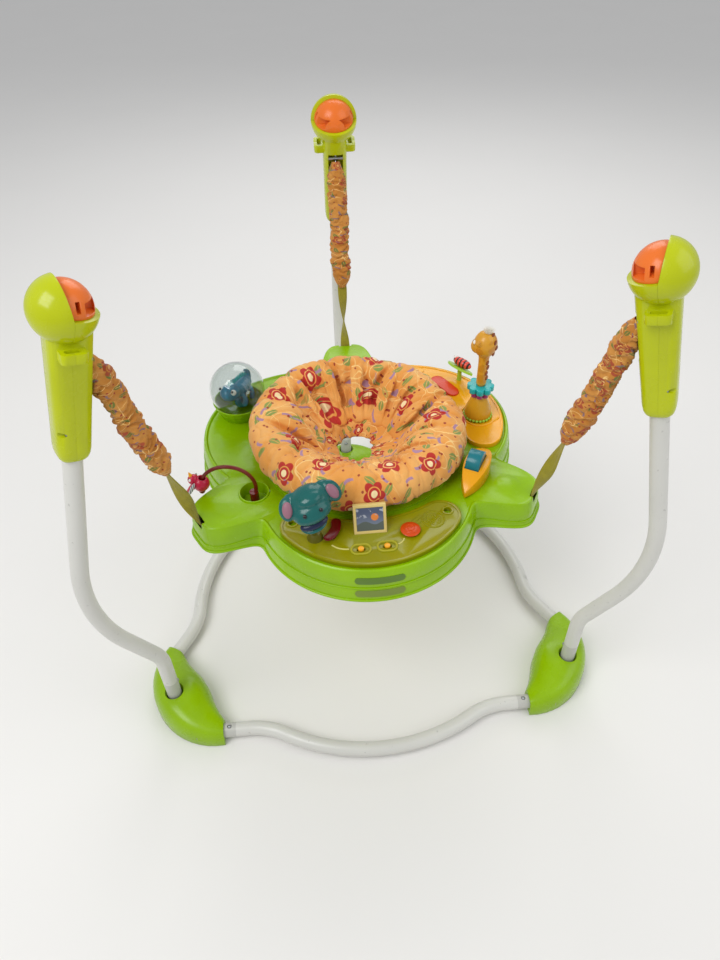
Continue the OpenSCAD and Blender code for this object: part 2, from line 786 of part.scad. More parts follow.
// Tray: one outline for both shells, three lobes and three ears blended into each other

function lobe_reach(deg) = lobe_c * cos(deg) + sqrt(pow(lobe_r, 2) - pow(lobe_c * sin(deg), 2));
function ear_edge(deg) = pow(pow(cos(deg) / ear_reach, 4) + pow(abs(sin(deg)) / ear_half, 4), -1 / 4);
// Angle from the nearest ear
function ear_angle(deg) = ((deg - 30) % 120 + 120) % 120 - 60;
function tray_edge(deg) =
    let (e = ear_angle(deg))
    pow(pow(lobe_reach(60 - abs(e)), 14) + pow(ear_edge(e), 14), 1 / 14);
function ear_share(deg) =
    let (s = max(0, min(1, (20 - abs(ear_angle(deg))) / 12)))
    s * s * (3 - 2 * s);

tray_steps = 108;
// Ring of the outline, drawn in from the edge
function edge_ring(inset, z, lift = 0) = [
    for (i = [0 : tray_steps - 1])
        let (deg = 360 * i / tray_steps, r = tray_edge(deg) - inset)
        [r * cos(deg), r * sin(deg), z + lift * ear_share(deg)]
];
// Round ring about the axis
function round_ring(r, z, lift = 0) = [
    for (i = [0 : tray_steps - 1])
        let (deg = 360 * i / tray_steps)
        [r * cos(deg), r * sin(deg), z + lift * ear_share(deg)]
];

crest_z = deck_z + crest_h;
module tray_top_shell() skin([
    edge_ring(2, split_z + rest),
    edge_ring(3, deck_z - 13),
    edge_ring(4.5, deck_z - 5),
    edge_ring(6.5, crest_z - 1.5, ear_rise / 2),
    edge_ring(8.5, crest_z, ear_rise / 2),
    edge_ring(10.5, crest_z - 0.4, ear_rise / 2),
    edge_ring(13, deck_z, ear_rise),
    round_ring(panel_in_r - 2, deck_z, ear_rise),
    round_ring(tray_hole_r + 12, deck_z),
    round_ring(tray_hole_r + 3, deck_z),
    round_ring(tray_hole_r, deck_z - 3),
    round_ring(tray_hole_r, wall_bottom_z),
    round_ring(tray_hole_r + tray_wall, wall_bottom_z),
    round_ring(tray_hole_r + tray_wall, deck_z - tray_wall),
    round_ring(panel_in_r - 2, deck_z - tray_wall, ear_rise),
    edge_ring(11 + tray_wall, deck_z - tray_wall, ear_rise),
    edge_ring(4 + tray_wall, deck_z - 8),
    edge_ring(2 + tray_wall, split_z + rest)
], closed = true);

module strap_slot() line_place() translate([0, 0, -line_l])
    translate([-strap_w / 2 - 3, -5, anchor_d]) cube([strap_w + 6, 10, 60]);

module at_lobe(turn) rotate([0, 0, turn]) children();
front_lobe = 0;
side_lobe = 120;
bubble_lobe = 240;

module ear_boss() rotate([0, 0, 240]) translate([0, 252, ear_z]) intersection() {
    ball = (pow(boss_d / 2, 2) + pow(boss_h, 2)) / (2 * boss_h);
    translate([0, 0, boss_h - ball]) sphere(r = ball, $fn = 96);
    translate([0, 0, -tray_wall / 2]) cylinder(d = boss_d, h = 2 * boss_d);
}

module tray_top() color("yellowgreen") difference() {
    union() {
        tray_top_shell();
        ear_boss();
        tray_screw_places() translate([0, 0, tray_wall + rest])
            cylinder(d = 3 * screw_d, h = screw_post_top - tray_z - tray_wall - rest);
    }
    each_post() strap_slot();
    at_lobe(front_lobe) through_deck() sound_outline(fit);
    at_lobe(side_lobe) at_giraffe() translate([0, 0, deck_z]) peg_hole();
    at_lobe(side_lobe) at_capsule() through_deck() capsule_2d(capsule_l + 8, capsule_w + 8);
    at_lobe(bubble_lobe) translate([0, -bubble_y, deck_z]) peg_hole();
    at_cup(deck_z) cylinder(r = cup_r + fit, h = 2 * cup_h, center = true);
    at_pod() pod_pegs() translate([0, 0, deck_z]) peg_hole();
    tray_screw_places() cylinder(d = screw_d + rest, h = tray_screw_l + tray_wall);
}

peg_d = 9;
peg_l = 8;
module peg_hole() cylinder(d = peg_d + 2 * fit, h = 60, center = true);
module through_deck() translate([0, 0, deck_z - 20]) linear_extrude(40) children();

floor_r = tray_hole_r + 13;
module tray_bottom_shell() skin([
    edge_ring(0, tray_z, ear_lift),
    edge_ring(0, tray_z + 5, ear_lift),
    edge_ring(2, split_z),
    edge_ring(2 + tray_wall, split_z),
    edge_ring(2 + tray_wall, tray_z + tray_wall, ear_lift),
    round_ring(floor_r, tray_z + tray_wall),
    round_ring(floor_r, tray_z)
], closed = true);

module tray_bottom() color("yellowgreen") difference() {
    union() {
        tray_bottom_shell();
        each_post() for (x = [-anchor_l / 2 + 5, anchor_l / 2 - 5])
            translate([x, anchor_r, anchor_z - anchor_d / 2 - rest - 14]) anchor_post();
    }
    tray_screw_places() cylinder(d = screw_d + fit, h = 4 * tray_wall, center = true);
}

module anchor_post() cylinder(d = 9, h = 14);

// Screws through the lower shell's floor into posts of the upper shell, two by each ear
tray_screw_deg = 30;
tray_screw_r = 198;
tray_screw_l = 22;
screw_post_top = deck_z - tray_wall / 2;
module tray_screw_places() each_post() for (side = [-1, 1])
    rotate([0, 0, side * tray_screw_deg]) translate([0, tray_screw_r, tray_z]) children();
module tray_screws() color("silver") tray_screw_places() {
    translate([0, 0, -screw_head_h - rest]) cylinder(d = screw_head_d, h = screw_head_h);
    translate([0, 0, -screw_head_h]) cylinder(d = screw_d, h = tray_screw_l + screw_head_h);
}

// Panels

// Outline of a lobe's panel: the outer and inner edges are arcs, and its round ends touch both of them
panel_out_r = lobe_r - panel_inset;
panel_far = panel_in_r + panel_end_r;
panel_near = panel_out_r - panel_end_r;
panel_end_y = -(pow(panel_far, 2) - pow(panel_near, 2) + pow(lobe_c, 2)) / (2 * lobe_c);
panel_end_x = sqrt(pow(panel_far, 2) - pow(panel_end_y, 2));
panel_head = [panel_end_x, panel_end_y] * panel_in_r / panel_far;
panel_out_share = panel_out_r / panel_near;
panel_foot = [panel_end_x * panel_out_share, (panel_end_y + lobe_c) * panel_out_share - lobe_c];
module panel_2d(inset = 0) {
    intersection() {
        difference() {
            translate([0, -lobe_c]) circle(r = panel_out_r - inset, $fn = 160);
            circle(r = panel_in_r + inset, $fn = 160);
        }
        polygon([
            [0, 0], panel_head, panel_foot, [panel_foot[0], -big],
            [-panel_foot[0], -big], [-panel_foot[0], panel_foot[1]], [-panel_head[0], panel_head[1]]
        ]);
    }
    for (side = [-1, 1]) translate([side * panel_end_x, panel_end_y]) circle(r = panel_end_r - inset);
}

// Outline of the sound box, drawn out by a clearance
sound_margin = 5;
sound_half = 82;
module sound_outline(out = 0) intersection() {
    difference() {
        translate([0, -lobe_c]) circle(r = panel_out_r - sound_margin + out, $fn = 160);
        circle(r = panel_in_r + sound_margin - out, $fn = 160);
    }
    translate([-sound_half - out, -big]) square([2 * (sound_half + out), big]);
}

module panel_plate() translate([0, 0, panel_z]) difference() {
    linear_extrude(panel_t) panel_2d();
    translate([0, 0, panel_t - panel_sink]) linear_extrude(panel_t) panel_2d(panel_rim);
}

// Press buttons: a cap through the panel, and a foot under it
button_foot = 2;
button_lip = 2;
pocket_h = button_foot + press_travel + 2 * fit;
cap_top = field_z + press_out;
foot_z = panel_z - fit - button_foot;
module press_button() {
    translate([0, 0, foot_z]) linear_extrude(button_foot) children(1);
    intersection() {
        translate([0, 0, foot_z]) linear_extrude(cap_top - foot_z) children(0);
        children(2);
    }
}

module at_bean() translate([BEAN_AT[0], BEAN_AT[1], 0]) rotate([0, 0, bean_turn]) children();
module at_round() translate([ROUND_AT[0], ROUND_AT[1], 0]) children();
module at_capsule() translate([CAPSULE_AT[0], CAPSULE_AT[1], 0]) rotate([0, 0, capsule_turn]) children();
module at_card() translate([CARD_AT[0], CARD_AT[1], 0]) children();
module at_elephant() translate([ELEPHANT_AT[0], ELEPHANT_AT[1], 0]) children();
module at_giraffe() translate([GIRAFFE_AT[0], GIRAFFE_AT[1], 0]) children();
module at_leaf() translate([LEAF_AT[0], LEAF_AT[1], 0]) rotate([0, 0, leaf_turn]) children();
module at_oval() translate([OVAL_AT[0], OVAL_AT[1], 0]) rotate([0, 0, oval_turn]) children();
module at_switch(i) translate([SWITCH_AT[i][0], SWITCH_AT[i][1], 0]) children();

// Crowned block that rounds a cap's top, from the cap's reach
module crown(reach, sag = 2) {
    r = (reach * reach + sag * sag) / (2 * sag);
    translate([0, 0, cap_top - r]) sphere(r = r, $fn = 96);
}

module round_button() color("orangered") at_lobe(front_lobe) at_round() press_button() {
    circle(d = round_d);
    circle(d = round_d + 2 * button_lip);
    crown(round_d / 2 + 4);
}
module bean_button() color("darkred") at_lobe(front_lobe) at_bean() press_button() {
    capsule_2d(bean_l, bean_w);
    capsule_2d(bean_l + 2 * button_lip, bean_w + 2 * button_lip);
    crown(bean_l / 2 + 4);
}
module capsule_button() color("orangered") at_lobe(side_lobe) at_capsule() press_button() {
    capsule_2d(capsule_l, capsule_w);
    capsule_2d(capsule_l + 2 * button_lip, capsule_w + 2 * button_lip);
    crown(capsule_l / 2 + 6, 3);
}

// Slide switches: a knob on a neck through a slot, and a foot under the panel
switch_neck = 4;
switch_dish = 1;
knob_z = field_z - switch_dish + fit;
module switch_knob() {
    translate([0, 0, knob_z]) cylinder(d = switch_d, h = 3.5);
    translate([0, 0, foot_z]) cylinder(d = switch_neck, h = knob_z - foot_z);
    translate([0, 0, foot_z]) cylinder(d = switch_d, h = button_foot);
}
module switch_slot() {
    through_deck() capsule_2d(switch_neck + 2 * switch_travel + 2 * fit, switch_neck + 2 * fit);
    translate([0, 0, field_z - switch_dish]) linear_extrude(big)
        capsule_2d(switch_d + 2 * switch_travel + 6, switch_d + 4);
}
module switch_left() color("orange") at_lobe(front_lobe) at_switch(0) switch_knob();
module switch_right() color("orange") at_lobe(front_lobe) at_switch(1) switch_knob();

module socket_rims() for (place = SOCKET_AT) translate([place[0], place[1], panel_z])
    cylinder(d = toy_socket_d + 6, h = panel_t);
module socket_holes() for (place = SOCKET_AT) translate([place[0], place[1], deck_z])
    cylinder(d = toy_socket_d, h = big);

module front_panel() color("olive") at_lobe(front_lobe) difference() {
    union() {
        panel_plate();
        socket_rims();
    }
    socket_holes();
    at_round() through_deck() circle(d = round_d + 2 * fit);
    at_bean() through_deck() capsule_2d(bean_l + 2 * fit, bean_w + 2 * fit);
    for (i = [0, 1]) at_switch(i) switch_slot();
    at_elephant() translate([0, 0, panel_z + 1]) cylinder(d = stem_d + 2 * fit, h = big);
    at_card() translate([0, 0, field_z]) linear_extrude(big)
        square([card_w, card_l] + 2 * [fit, fit], center = true);
}

// Box under the front panel, with pockets that the buttons' feet travel in
module sound_box() color("gray") at_lobe(front_lobe) difference() {
    translate([0, 0, deck_z - sound_h]) linear_extrude(sound_h) sound_outline();
    translate([0, 0, deck_z - pocket_h]) linear_extrude(big) {
        at_round() circle(d = round_d + 2 * button_lip + 2);
        at_bean() capsule_2d(bean_l + 2 * button_lip + 2, bean_w + 2 * button_lip + 2);
        for (i = [0, 1]) at_switch(i) capsule_2d(switch_d + 2 * switch_travel + 2, switch_d + 2);
    }
}

// Picture card: a wedge that leans back on the panel's field, with a sunk window
card_lean = atan2(card_h, card_l - card_t);
card_slant = norm([card_h, card_l - card_t]);
card_edge = 4;
card_window = 1;
module card_block() difference() {
    rotate([90, 0, 90]) linear_extrude(card_w, center = true)
        polygon([[-card_l / 2, 0], [card_l / 2, 0], [card_l / 2, card_h], [card_l / 2 - card_t, card_h]]);
    translate([0, -card_l / 2, 0]) rotate([card_lean, 0, 0])
        translate([-card_w / 2 + card_edge, card_edge, -card_window])
        cube([card_w - 2 * card_edge, card_slant - 2 * card_edge, big]);
}
module picture_card() color("steelblue") at_lobe(front_lobe) at_card()
    translate([0, 0, field_z + rest]) card_block();

oval_l = 38;
oval_w = 18;
module side_panel() color("goldenrod") at_lobe(side_lobe) difference() {
    union() {
        panel_plate();
        at_oval() translate([0, 0, panel_z]) linear_extrude(panel_t + 1) capsule_2d(oval_l, oval_w);
    }
    at_capsule() through_deck() capsule_2d(capsule_l + 2 * fit, capsule_w + 2 * fit);
    at_giraffe() through_deck() circle(d = peg_d + 2 * fit);
    at_leaf() translate([0, 0, panel_z + 1]) cylinder(d = stem_d + 2 * fit, h = big);
}

// Toys

// Elephant: a head that rocks on a cross pin at the top of its stem
pivot_d = 4;
elephant_up = 8;
module elephant_stem() color("midnightblue") at_lobe(front_lobe) at_elephant() {
    translate([0, 0, panel_z + 1 + rest]) cylinder(d = stem_d, h = elephant_z - panel_z - 1 - rest);
    translate([0, 0, field_z + rest]) cylinder(d1 = 3 * stem_d, d2 = 2 * stem_d, h = 12);
    translate([0, 0, elephant_z]) sphere(d = stem_d);
    translate([0, 0, elephant_z]) rotate([0, 90, 0])
        cylinder(d = pivot_d, h = 2 * elephant_r - 12, center = true);
}
module elephant_head() color("teal") at_lobe(front_lobe) at_elephant()
    translate([0, 0, elephant_z]) elephant_solid();
module elephant_solid() difference() {
    union() {
        translate([0, 0, elephant_up]) sphere(r = elephant_r, $fn = 72);
        for (side = [-1, 1]) translate([side * (elephant_r + 5), -4, elephant_up + 6])
            rotate([72, 0, side * 18]) cylinder(d = 1.25 * elephant_r, h = 6, center = true);
        translate([0, -elephant_r + 2, elephant_up - 8]) rotate([0, 90, 0])
            rotate_extrude(angle = 150) translate([9, 0]) circle(d = 13);
    }
    translate([0, 0, -2 * elephant_r]) cylinder(d = 2.5 * stem_d, h = 2 * elephant_r + 0.8 * stem_d);
    rotate([0, 90, 0]) cylinder(d = pivot_d + 2 * fit, h = 2 * elephant_r - 10, center = true);
}

// Bubble: a clear ball that spins on a peg in its cup
bubble_z = deck_z + bubble_lift + bubble_r;
collar_h = 27;
collar_slope = 11;
module bubble_cup() color("yellowgreen") at_lobe(bubble_lobe) translate([0, -bubble_y, 0]) difference() {
    union() {
        translate([0, 0, deck_z + rest])
            cylinder(r1 = bubble_r - 2 - collar_slope, r2 = bubble_r - 2, h = collar_h);
        translate([0, 0, deck_z - 14]) cylinder(d = peg_d, h = 14 + 1);
    }
    translate([0, 0, bubble_z]) sphere(r = bubble_r + fit, $fn = 96);
    cylinder(d = axle_d + 2 * fit, h = bubble_z);
}
module bubble() color("lightgray", 0.4) at_lobe(bubble_lobe) translate([0, -bubble_y, 0]) {
    difference() {
        translate([0, 0, bubble_z]) sphere(r = bubble_r, $fn = 96);
        translate([0, 0, bubble_z]) sphere(r = bubble_r - bubble_t, $fn = 96);
    }
    translate([0, 0, deck_z - 12]) cylinder(d = axle_d, h = bubble_z - bubble_r + bubble_t / 2 - deck_z + 12);
}
// Lizard that stands on the floor of the bubble
lizard_r = 8;
module lizard() color("steelblue") at_lobe(bubble_lobe) translate([0, -bubble_y, bubble_z]) {
    floor_z = -bubble_r + bubble_t + rest;
    translate([0, 0, floor_z]) intersection() {
        cylinder(d = 10, h = bubble_r - lizard_r);
        translate([0, 0, -floor_z]) sphere(r = bubble_r - bubble_t - rest, $fn = 72);
    }
    rotate([0, 90, 0]) cylinder(r = lizard_r, h = 26, center = true);
    for (side = [-1, 1]) translate([13 * side, 0, 0]) sphere(r = lizard_r);
    translate([20, 0, 5]) sphere(r = lizard_r + 1);
    translate([-13, 0, 0]) rotate([90, 0, 0]) translate([0, 12, 0]) rotate([0, 0, 180])
        rotate_extrude(angle = 90) translate([12, 0]) circle(d = 7);
}

// Cup on the left ear with the arched wire and its bird bead
cup_top = ear_z + 2;
cup_base = 4;
cup_wall = 2.5;
cup_floor = cup_top - cup_h + cup_base;
left_turn = 120;
module at_cup(z) rotate([0, 0, left_turn]) translate([0, cup_y, z]) children();
module toy_cup() color("yellowgreen") at_cup(cup_top - cup_h) difference() {
    cylinder(r = cup_r, h = cup_h);
    translate([0, 0, cup_base]) cylinder(r = cup_r - cup_wall, h = cup_h);
}
// Arched wire: angles run from its outer end over the top to the post in the cup
arch_end = 8;
arch_out = 0.9 * arch_r;
arch_z = ear_z + arch_up;
arch_foot = 180 + acos(arch_out / arch_r);
wire_post_d = 14;
wire_post_h = 22;
module at_arch() at_cup(arch_z) rotate([0, 0, -arch_turn]) translate([0, arch_out, 0])
    rotate([90, 0, 90]) children();
module arch_wire() color("maroon") {
    at_arch() rotate([0, 0, -arch_end]) {
        rotate_extrude(angle = arch_foot + arch_end) translate([arch_r, 0]) circle(d = wire_d);
        translate([arch_r, 0, 0]) sphere(d = arch_stop_d);
    }
    at_cup(cup_floor + rest) cylinder(d = wire_post_d, h = wire_post_h);
}
arch_stop_d = wire_d + 4;
bead_deg = -arch_end + 2 * asin((bead_r + arch_stop_d / 2 + fit) / (2 * arch_r));
// A straight bore that the curved wire passes through, wider by the wire's sag
bead_sag = bead_r * bead_r / (4 * arch_r);
wing_l = 18;
wing_w = 11;
wing_t = 5;
wing_out = 1;
module bird_bead() color("crimson") at_arch() rotate([0, 0, bead_deg])
    translate([arch_r - bead_sag, 0, 0]) {
        rotate([90, 0, 0]) rotate([0, 0, 180]) rotate_extrude() intersection() {
            circle(r = bead_r);
            translate([wire_d / 2 + bead_sag + fit, -bead_r]) square([bead_r, 2 * bead_r]);
        }
        translate([bead_r + wing_out, 0, 0]) rotate([0, 90, 0]) rotate([0, 0, 90]) rotate([90, 0, 0])
            linear_extrude(wing_t, center = true) capsule_2d(wing_l, wing_w);
    }

// Giraffe with two flower rings that turn on its neck
shoulder_z = 452;
collar_z = ring_z + 2 * ring_t + 3 * fit;
module giraffe() color("goldenrod") at_lobe(side_lobe) at_giraffe() {
    translate([0, 0, deck_z - peg_l]) cylinder(d = peg_d, h = peg_l + panel_t);
    translate([0, 0, field_z + rest]) cylinder(d1 = 44, d2 = 34, h = shoulder_z - field_z - rest);
    translate([0, 0, shoulder_z - 1]) cylinder(d1 = 30, d2 = 19, h = ring_z - fit - shoulder_z + 1);
    translate([0, 0, shoulder_z]) cylinder(d = neck_d, h = giraffe_z - shoulder_z);
    translate([0, 0, collar_z]) cylinder(d1 = neck_d + 6, d2 = neck_d - 1, h = 10);
    translate([0, 0, giraffe_z]) sphere(r = 16);
    translate([0, 12, giraffe_z - 6]) sphere(r = 11);
    for (side = [-1, 1]) translate([side * 16, -2, giraffe_z + 7]) sphere(d = 9);
}
module flower_ring(r) linear_extrude(ring_t) difference() {
    union() {
        circle(r = r);
        for (i = [0 : 7]) rotate(45 * i) translate([r, 0]) circle(r = r / 2.6);
    }
    circle(d = neck_d + 2 * fit);
}
module flower_ring_low() color("mediumvioletred") at_lobe(side_lobe) at_giraffe()
    translate([0, 0, ring_z]) flower_ring(13);
module flower_ring_high() color("darkturquoise") at_lobe(side_lobe) at_giraffe()
    translate([0, 0, ring_z + ring_t + fit]) flower_ring(16);

// Striped bug on its leaf
leaf_z = 452;
leaf_t = 4;
leaf_tilt = 30;
module bug_leaf() color("greenyellow") at_lobe(side_lobe) at_leaf() {
    translate([0, 0, panel_z + 1 + rest]) cylinder(d = stem_d, h = leaf_z - panel_z);
    translate([0, 0, leaf_z]) rotate([leaf_tilt, 0, 0]) linear_extrude(leaf_t, center = true) intersection() {
        translate([0, 24]) circle(r = 38);
        translate([0, -24]) circle(r = 38);
    }
}
bug_r = 8;
module striped_bug() color("firebrick") at_lobe(side_lobe) at_leaf()
    translate([0, 0, leaf_z]) rotate([leaf_tilt, 0, 0])
    translate([0, 0, leaf_t / 2 + fit + bug_r]) {
        rotate([0, 90, 0]) cylinder(r = bug_r, h = 24, center = true);
        for (side = [-1, 1]) translate([side * 12, 0, 0]) sphere(r = bug_r);
    }

// Roller pod on the right ear: a pointed, arched body with a roller towards the seat
right_turn = 240;
pod_z = ear_z + rest;
pod_side_r = (pow(pod_l / 2, 2) + pow(pod_w / 2, 2)) / pod_w;
pod_arch_r = 0.8 * pod_l;
roller_in = 3;
roller_gap = 1.5;
module pod_2d() intersection_for(side = [-1, 1])
    translate([0, side * (pod_side_r - pod_w / 2)]) circle(r = pod_side_r, $fn = 128);
roller_z = pod_z + 6 + roller_r;
module at_pod() rotate([0, 0, right_turn]) translate([0, pod_y, 0]) children();
module pod_pegs() for (side = [-1, 1]) translate([side * pod_l / 3, 0, 0]) children();
module roller_pod() color("orange") at_pod() difference() {
    union() {
        intersection() {
            translate([0, 0, pod_z]) linear_extrude(pod_h) pod_2d();
            translate([0, 0, pod_z + pod_h - pod_arch_r]) rotate([90, 0, 0])
                cylinder(r = pod_arch_r, h = pod_l, center = true, $fn = 96);
        }
        pod_pegs() translate([0, 0, pod_z - peg_l]) cylinder(d = peg_d, h = peg_l + 1);
    }
    translate([0, -roller_in, roller_z]) {
        rotate([90, 0, 0]) cylinder(r = roller_r + roller_gap, h = roller_w + 1, center = true);
        translate([0, 0, big / 2]) cube([2 * (roller_r + roller_gap), roller_w + 1, big], center = true);
    }
    translate([0, 0, roller_z]) rotate([90, 0, 0])
        cylinder(d = axle_d + 2 * fit, h = pod_w - 3, center = true);
}
module roller() color("teal") at_pod() translate([0, 0, roller_z]) rotate([90, 0, 0]) {
    translate([0, 0, roller_in]) cylinder(r = roller_r, h = roller_w, center = true);
    cylinder(d = axle_d, h = pod_w - 4, center = true);
}

// Seat

module seat_ring() color("yellowgreen") rotate_extrude($fn = 160) {
    translate([ring_wall_r - 18, deck_z + fit]) square([31, flange_t]);
    translate([ring_wall_r - 5, wall_bottom_z - 3]) square([5, deck_z + fit - wall_bottom_z + 4]);
}
module seat_retainer() color("yellowgreen") translate([0, 0, wall_bottom_z - 3 - rest - flange_t])
    linear_extrude(flange_t) difference() {
        circle(r = tray_hole_r + 9, $fn = 160);
        circle(r = ring_wall_r - 11, $fn = 160);
    }

// Padded ring: a crowned section, drawn in by gathers that deepen towards the opening
function gather(deg) = pow(abs(sin(deg * seat_gathers / 2)), 0.6);
pad_points = 14;
pad_round = 0.85;
// Share of the section's half height that its lowest facets reach
pad_low = pow(cos(180 / pad_points), pad_round);
function pad_ring_section(deg) = [
    for (i = [0 : pad_points - 1])
        let (
            t = 360 * i / pad_points,
            c = sign(cos(t)) * pow(abs(cos(t)), pad_round),
            s = sign(sin(t)) * pow(abs(sin(t)), pad_round),
            draw = (1 - gather(deg)) * seat_fold * (0.35 + 0.65 * (1 - c) / 2),
            half_w = (seat_r - seat_hole_r) / 2 - draw / 2,
            half_h = (seat_top - pad_base_z) / 2 - (s > 0 ? draw : 0),
            r = pad_mid_r + half_w * c,
            z = pad_mid_z + half_h * (s > 0 ? s : s / pad_low)
        )
        [r * cos(deg), r * sin(deg), z]
];
pad_steps = 66;
module seat_pad() color("sandybrown")
    skin([for (k = [0 : pad_steps - 1]) pad_ring_section(-360 * k / pad_steps)], closed = true);

// Sling: a gathered cloth bowl under the ring, with two leg holes
sling_top = wall_bottom_z - 3 - rest - flange_t - fit;
sling_in = ring_wall_r - 9;
function sling_ring(share, inset, steps = 36) = [
    for (i = [0 : steps - 1])
        let (
            deg = 360 * i / steps,
            fold = 5 * share * (1 - share) * 4 * cos(9 * deg),
            r = max(2, (sling_in - inset) * sqrt(1 - pow(share, 2.2)) + fold * 0.6),
            z = sling_top - (sling_top - sling_z - inset) * share
        )
        [r * cos(deg), r * sin(deg), z]
];
leg_hole_out = 0.62;
leg_hole_up = 30;
leg_hole_tilt = 62;
module sling_shell() skin(concat(
    [for (k = [8 : -1 : 0]) sling_ring(k / 8.02, 0)],
    [for (k = [0 : 8]) sling_ring(k / 8.02, sling_t)]
));
module seat_sling() color("sandybrown") difference() {
    sling_shell();
    for (deg = [leg_hole_turn, leg_hole_turn + leg_hole_spread]) rotate([0, 0, deg - 90])
        translate([0, sling_in * leg_hole_out, sling_z + leg_hole_up]) rotate([-leg_hole_tilt, 0, 0])
        cylinder(r = leg_hole_r, h = 2.4 * leg_hole_r, center = true);
}

on_axis() foot_left();
on_axis() foot_right();
on_axis() foot_back();
on_axis() foot_pads();
on_axis() base_tube_front();
on_axis() base_tube_left();
on_axis() base_tube_right();
on_axis() stub_tubes();
on_axis() leg_tube_left();
on_axis() leg_tube_right();
on_axis() leg_tube_back();
on_axis() leg_button_left();
on_axis() leg_button_right();
on_axis() leg_button_back();
on_axis() base_button_left();
on_axis() base_button_right();
on_axis() head_outer_left();
on_axis() head_outer_right();
on_axis() head_outer_back();
on_axis() head_inner_left();
on_axis() head_inner_right();
on_axis() head_inner_back();
on_axis() head_inserts();
on_axis() head_screws();
on_axis() hanger_pins();
on_axis() springs();
on_axis() spring_covers();
on_axis() straps();
on_axis() strap_anchors();
on_axis() tray_top();
on_axis() tray_bottom();
on_axis() tray_screws();
on_axis() front_panel();
on_axis() sound_box();
on_axis() picture_card();
on_axis() round_button();
on_axis() bean_button();
on_axis() switch_left();
on_axis() switch_right();
on_axis() side_panel();
on_axis() capsule_button();
on_axis() elephant_stem();
on_axis() elephant_head();
on_axis() bubble_cup();
on_axis() bubble();
on_axis() lizard();
on_axis() toy_cup();
on_axis() arch_wire();
on_axis() bird_bead();
on_axis() giraffe();
on_axis() flower_ring_low();
on_axis() flower_ring_high();
on_axis() bug_leaf();
on_axis() striped_bug();
on_axis() roller_pod();
on_axis() roller();
on_axis() seat_ring();
on_axis() seat_retainer();
on_axis() seat_pad();
on_axis() seat_sling();
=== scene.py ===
"""Looks of a free-standing baby jumper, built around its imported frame.

Three posts on a ring of base tubes carry a toy tray on sprung, ruffled straps,
and a padded seat turns in the tray. Lengths are in millimetres until a mesh is made.
"""

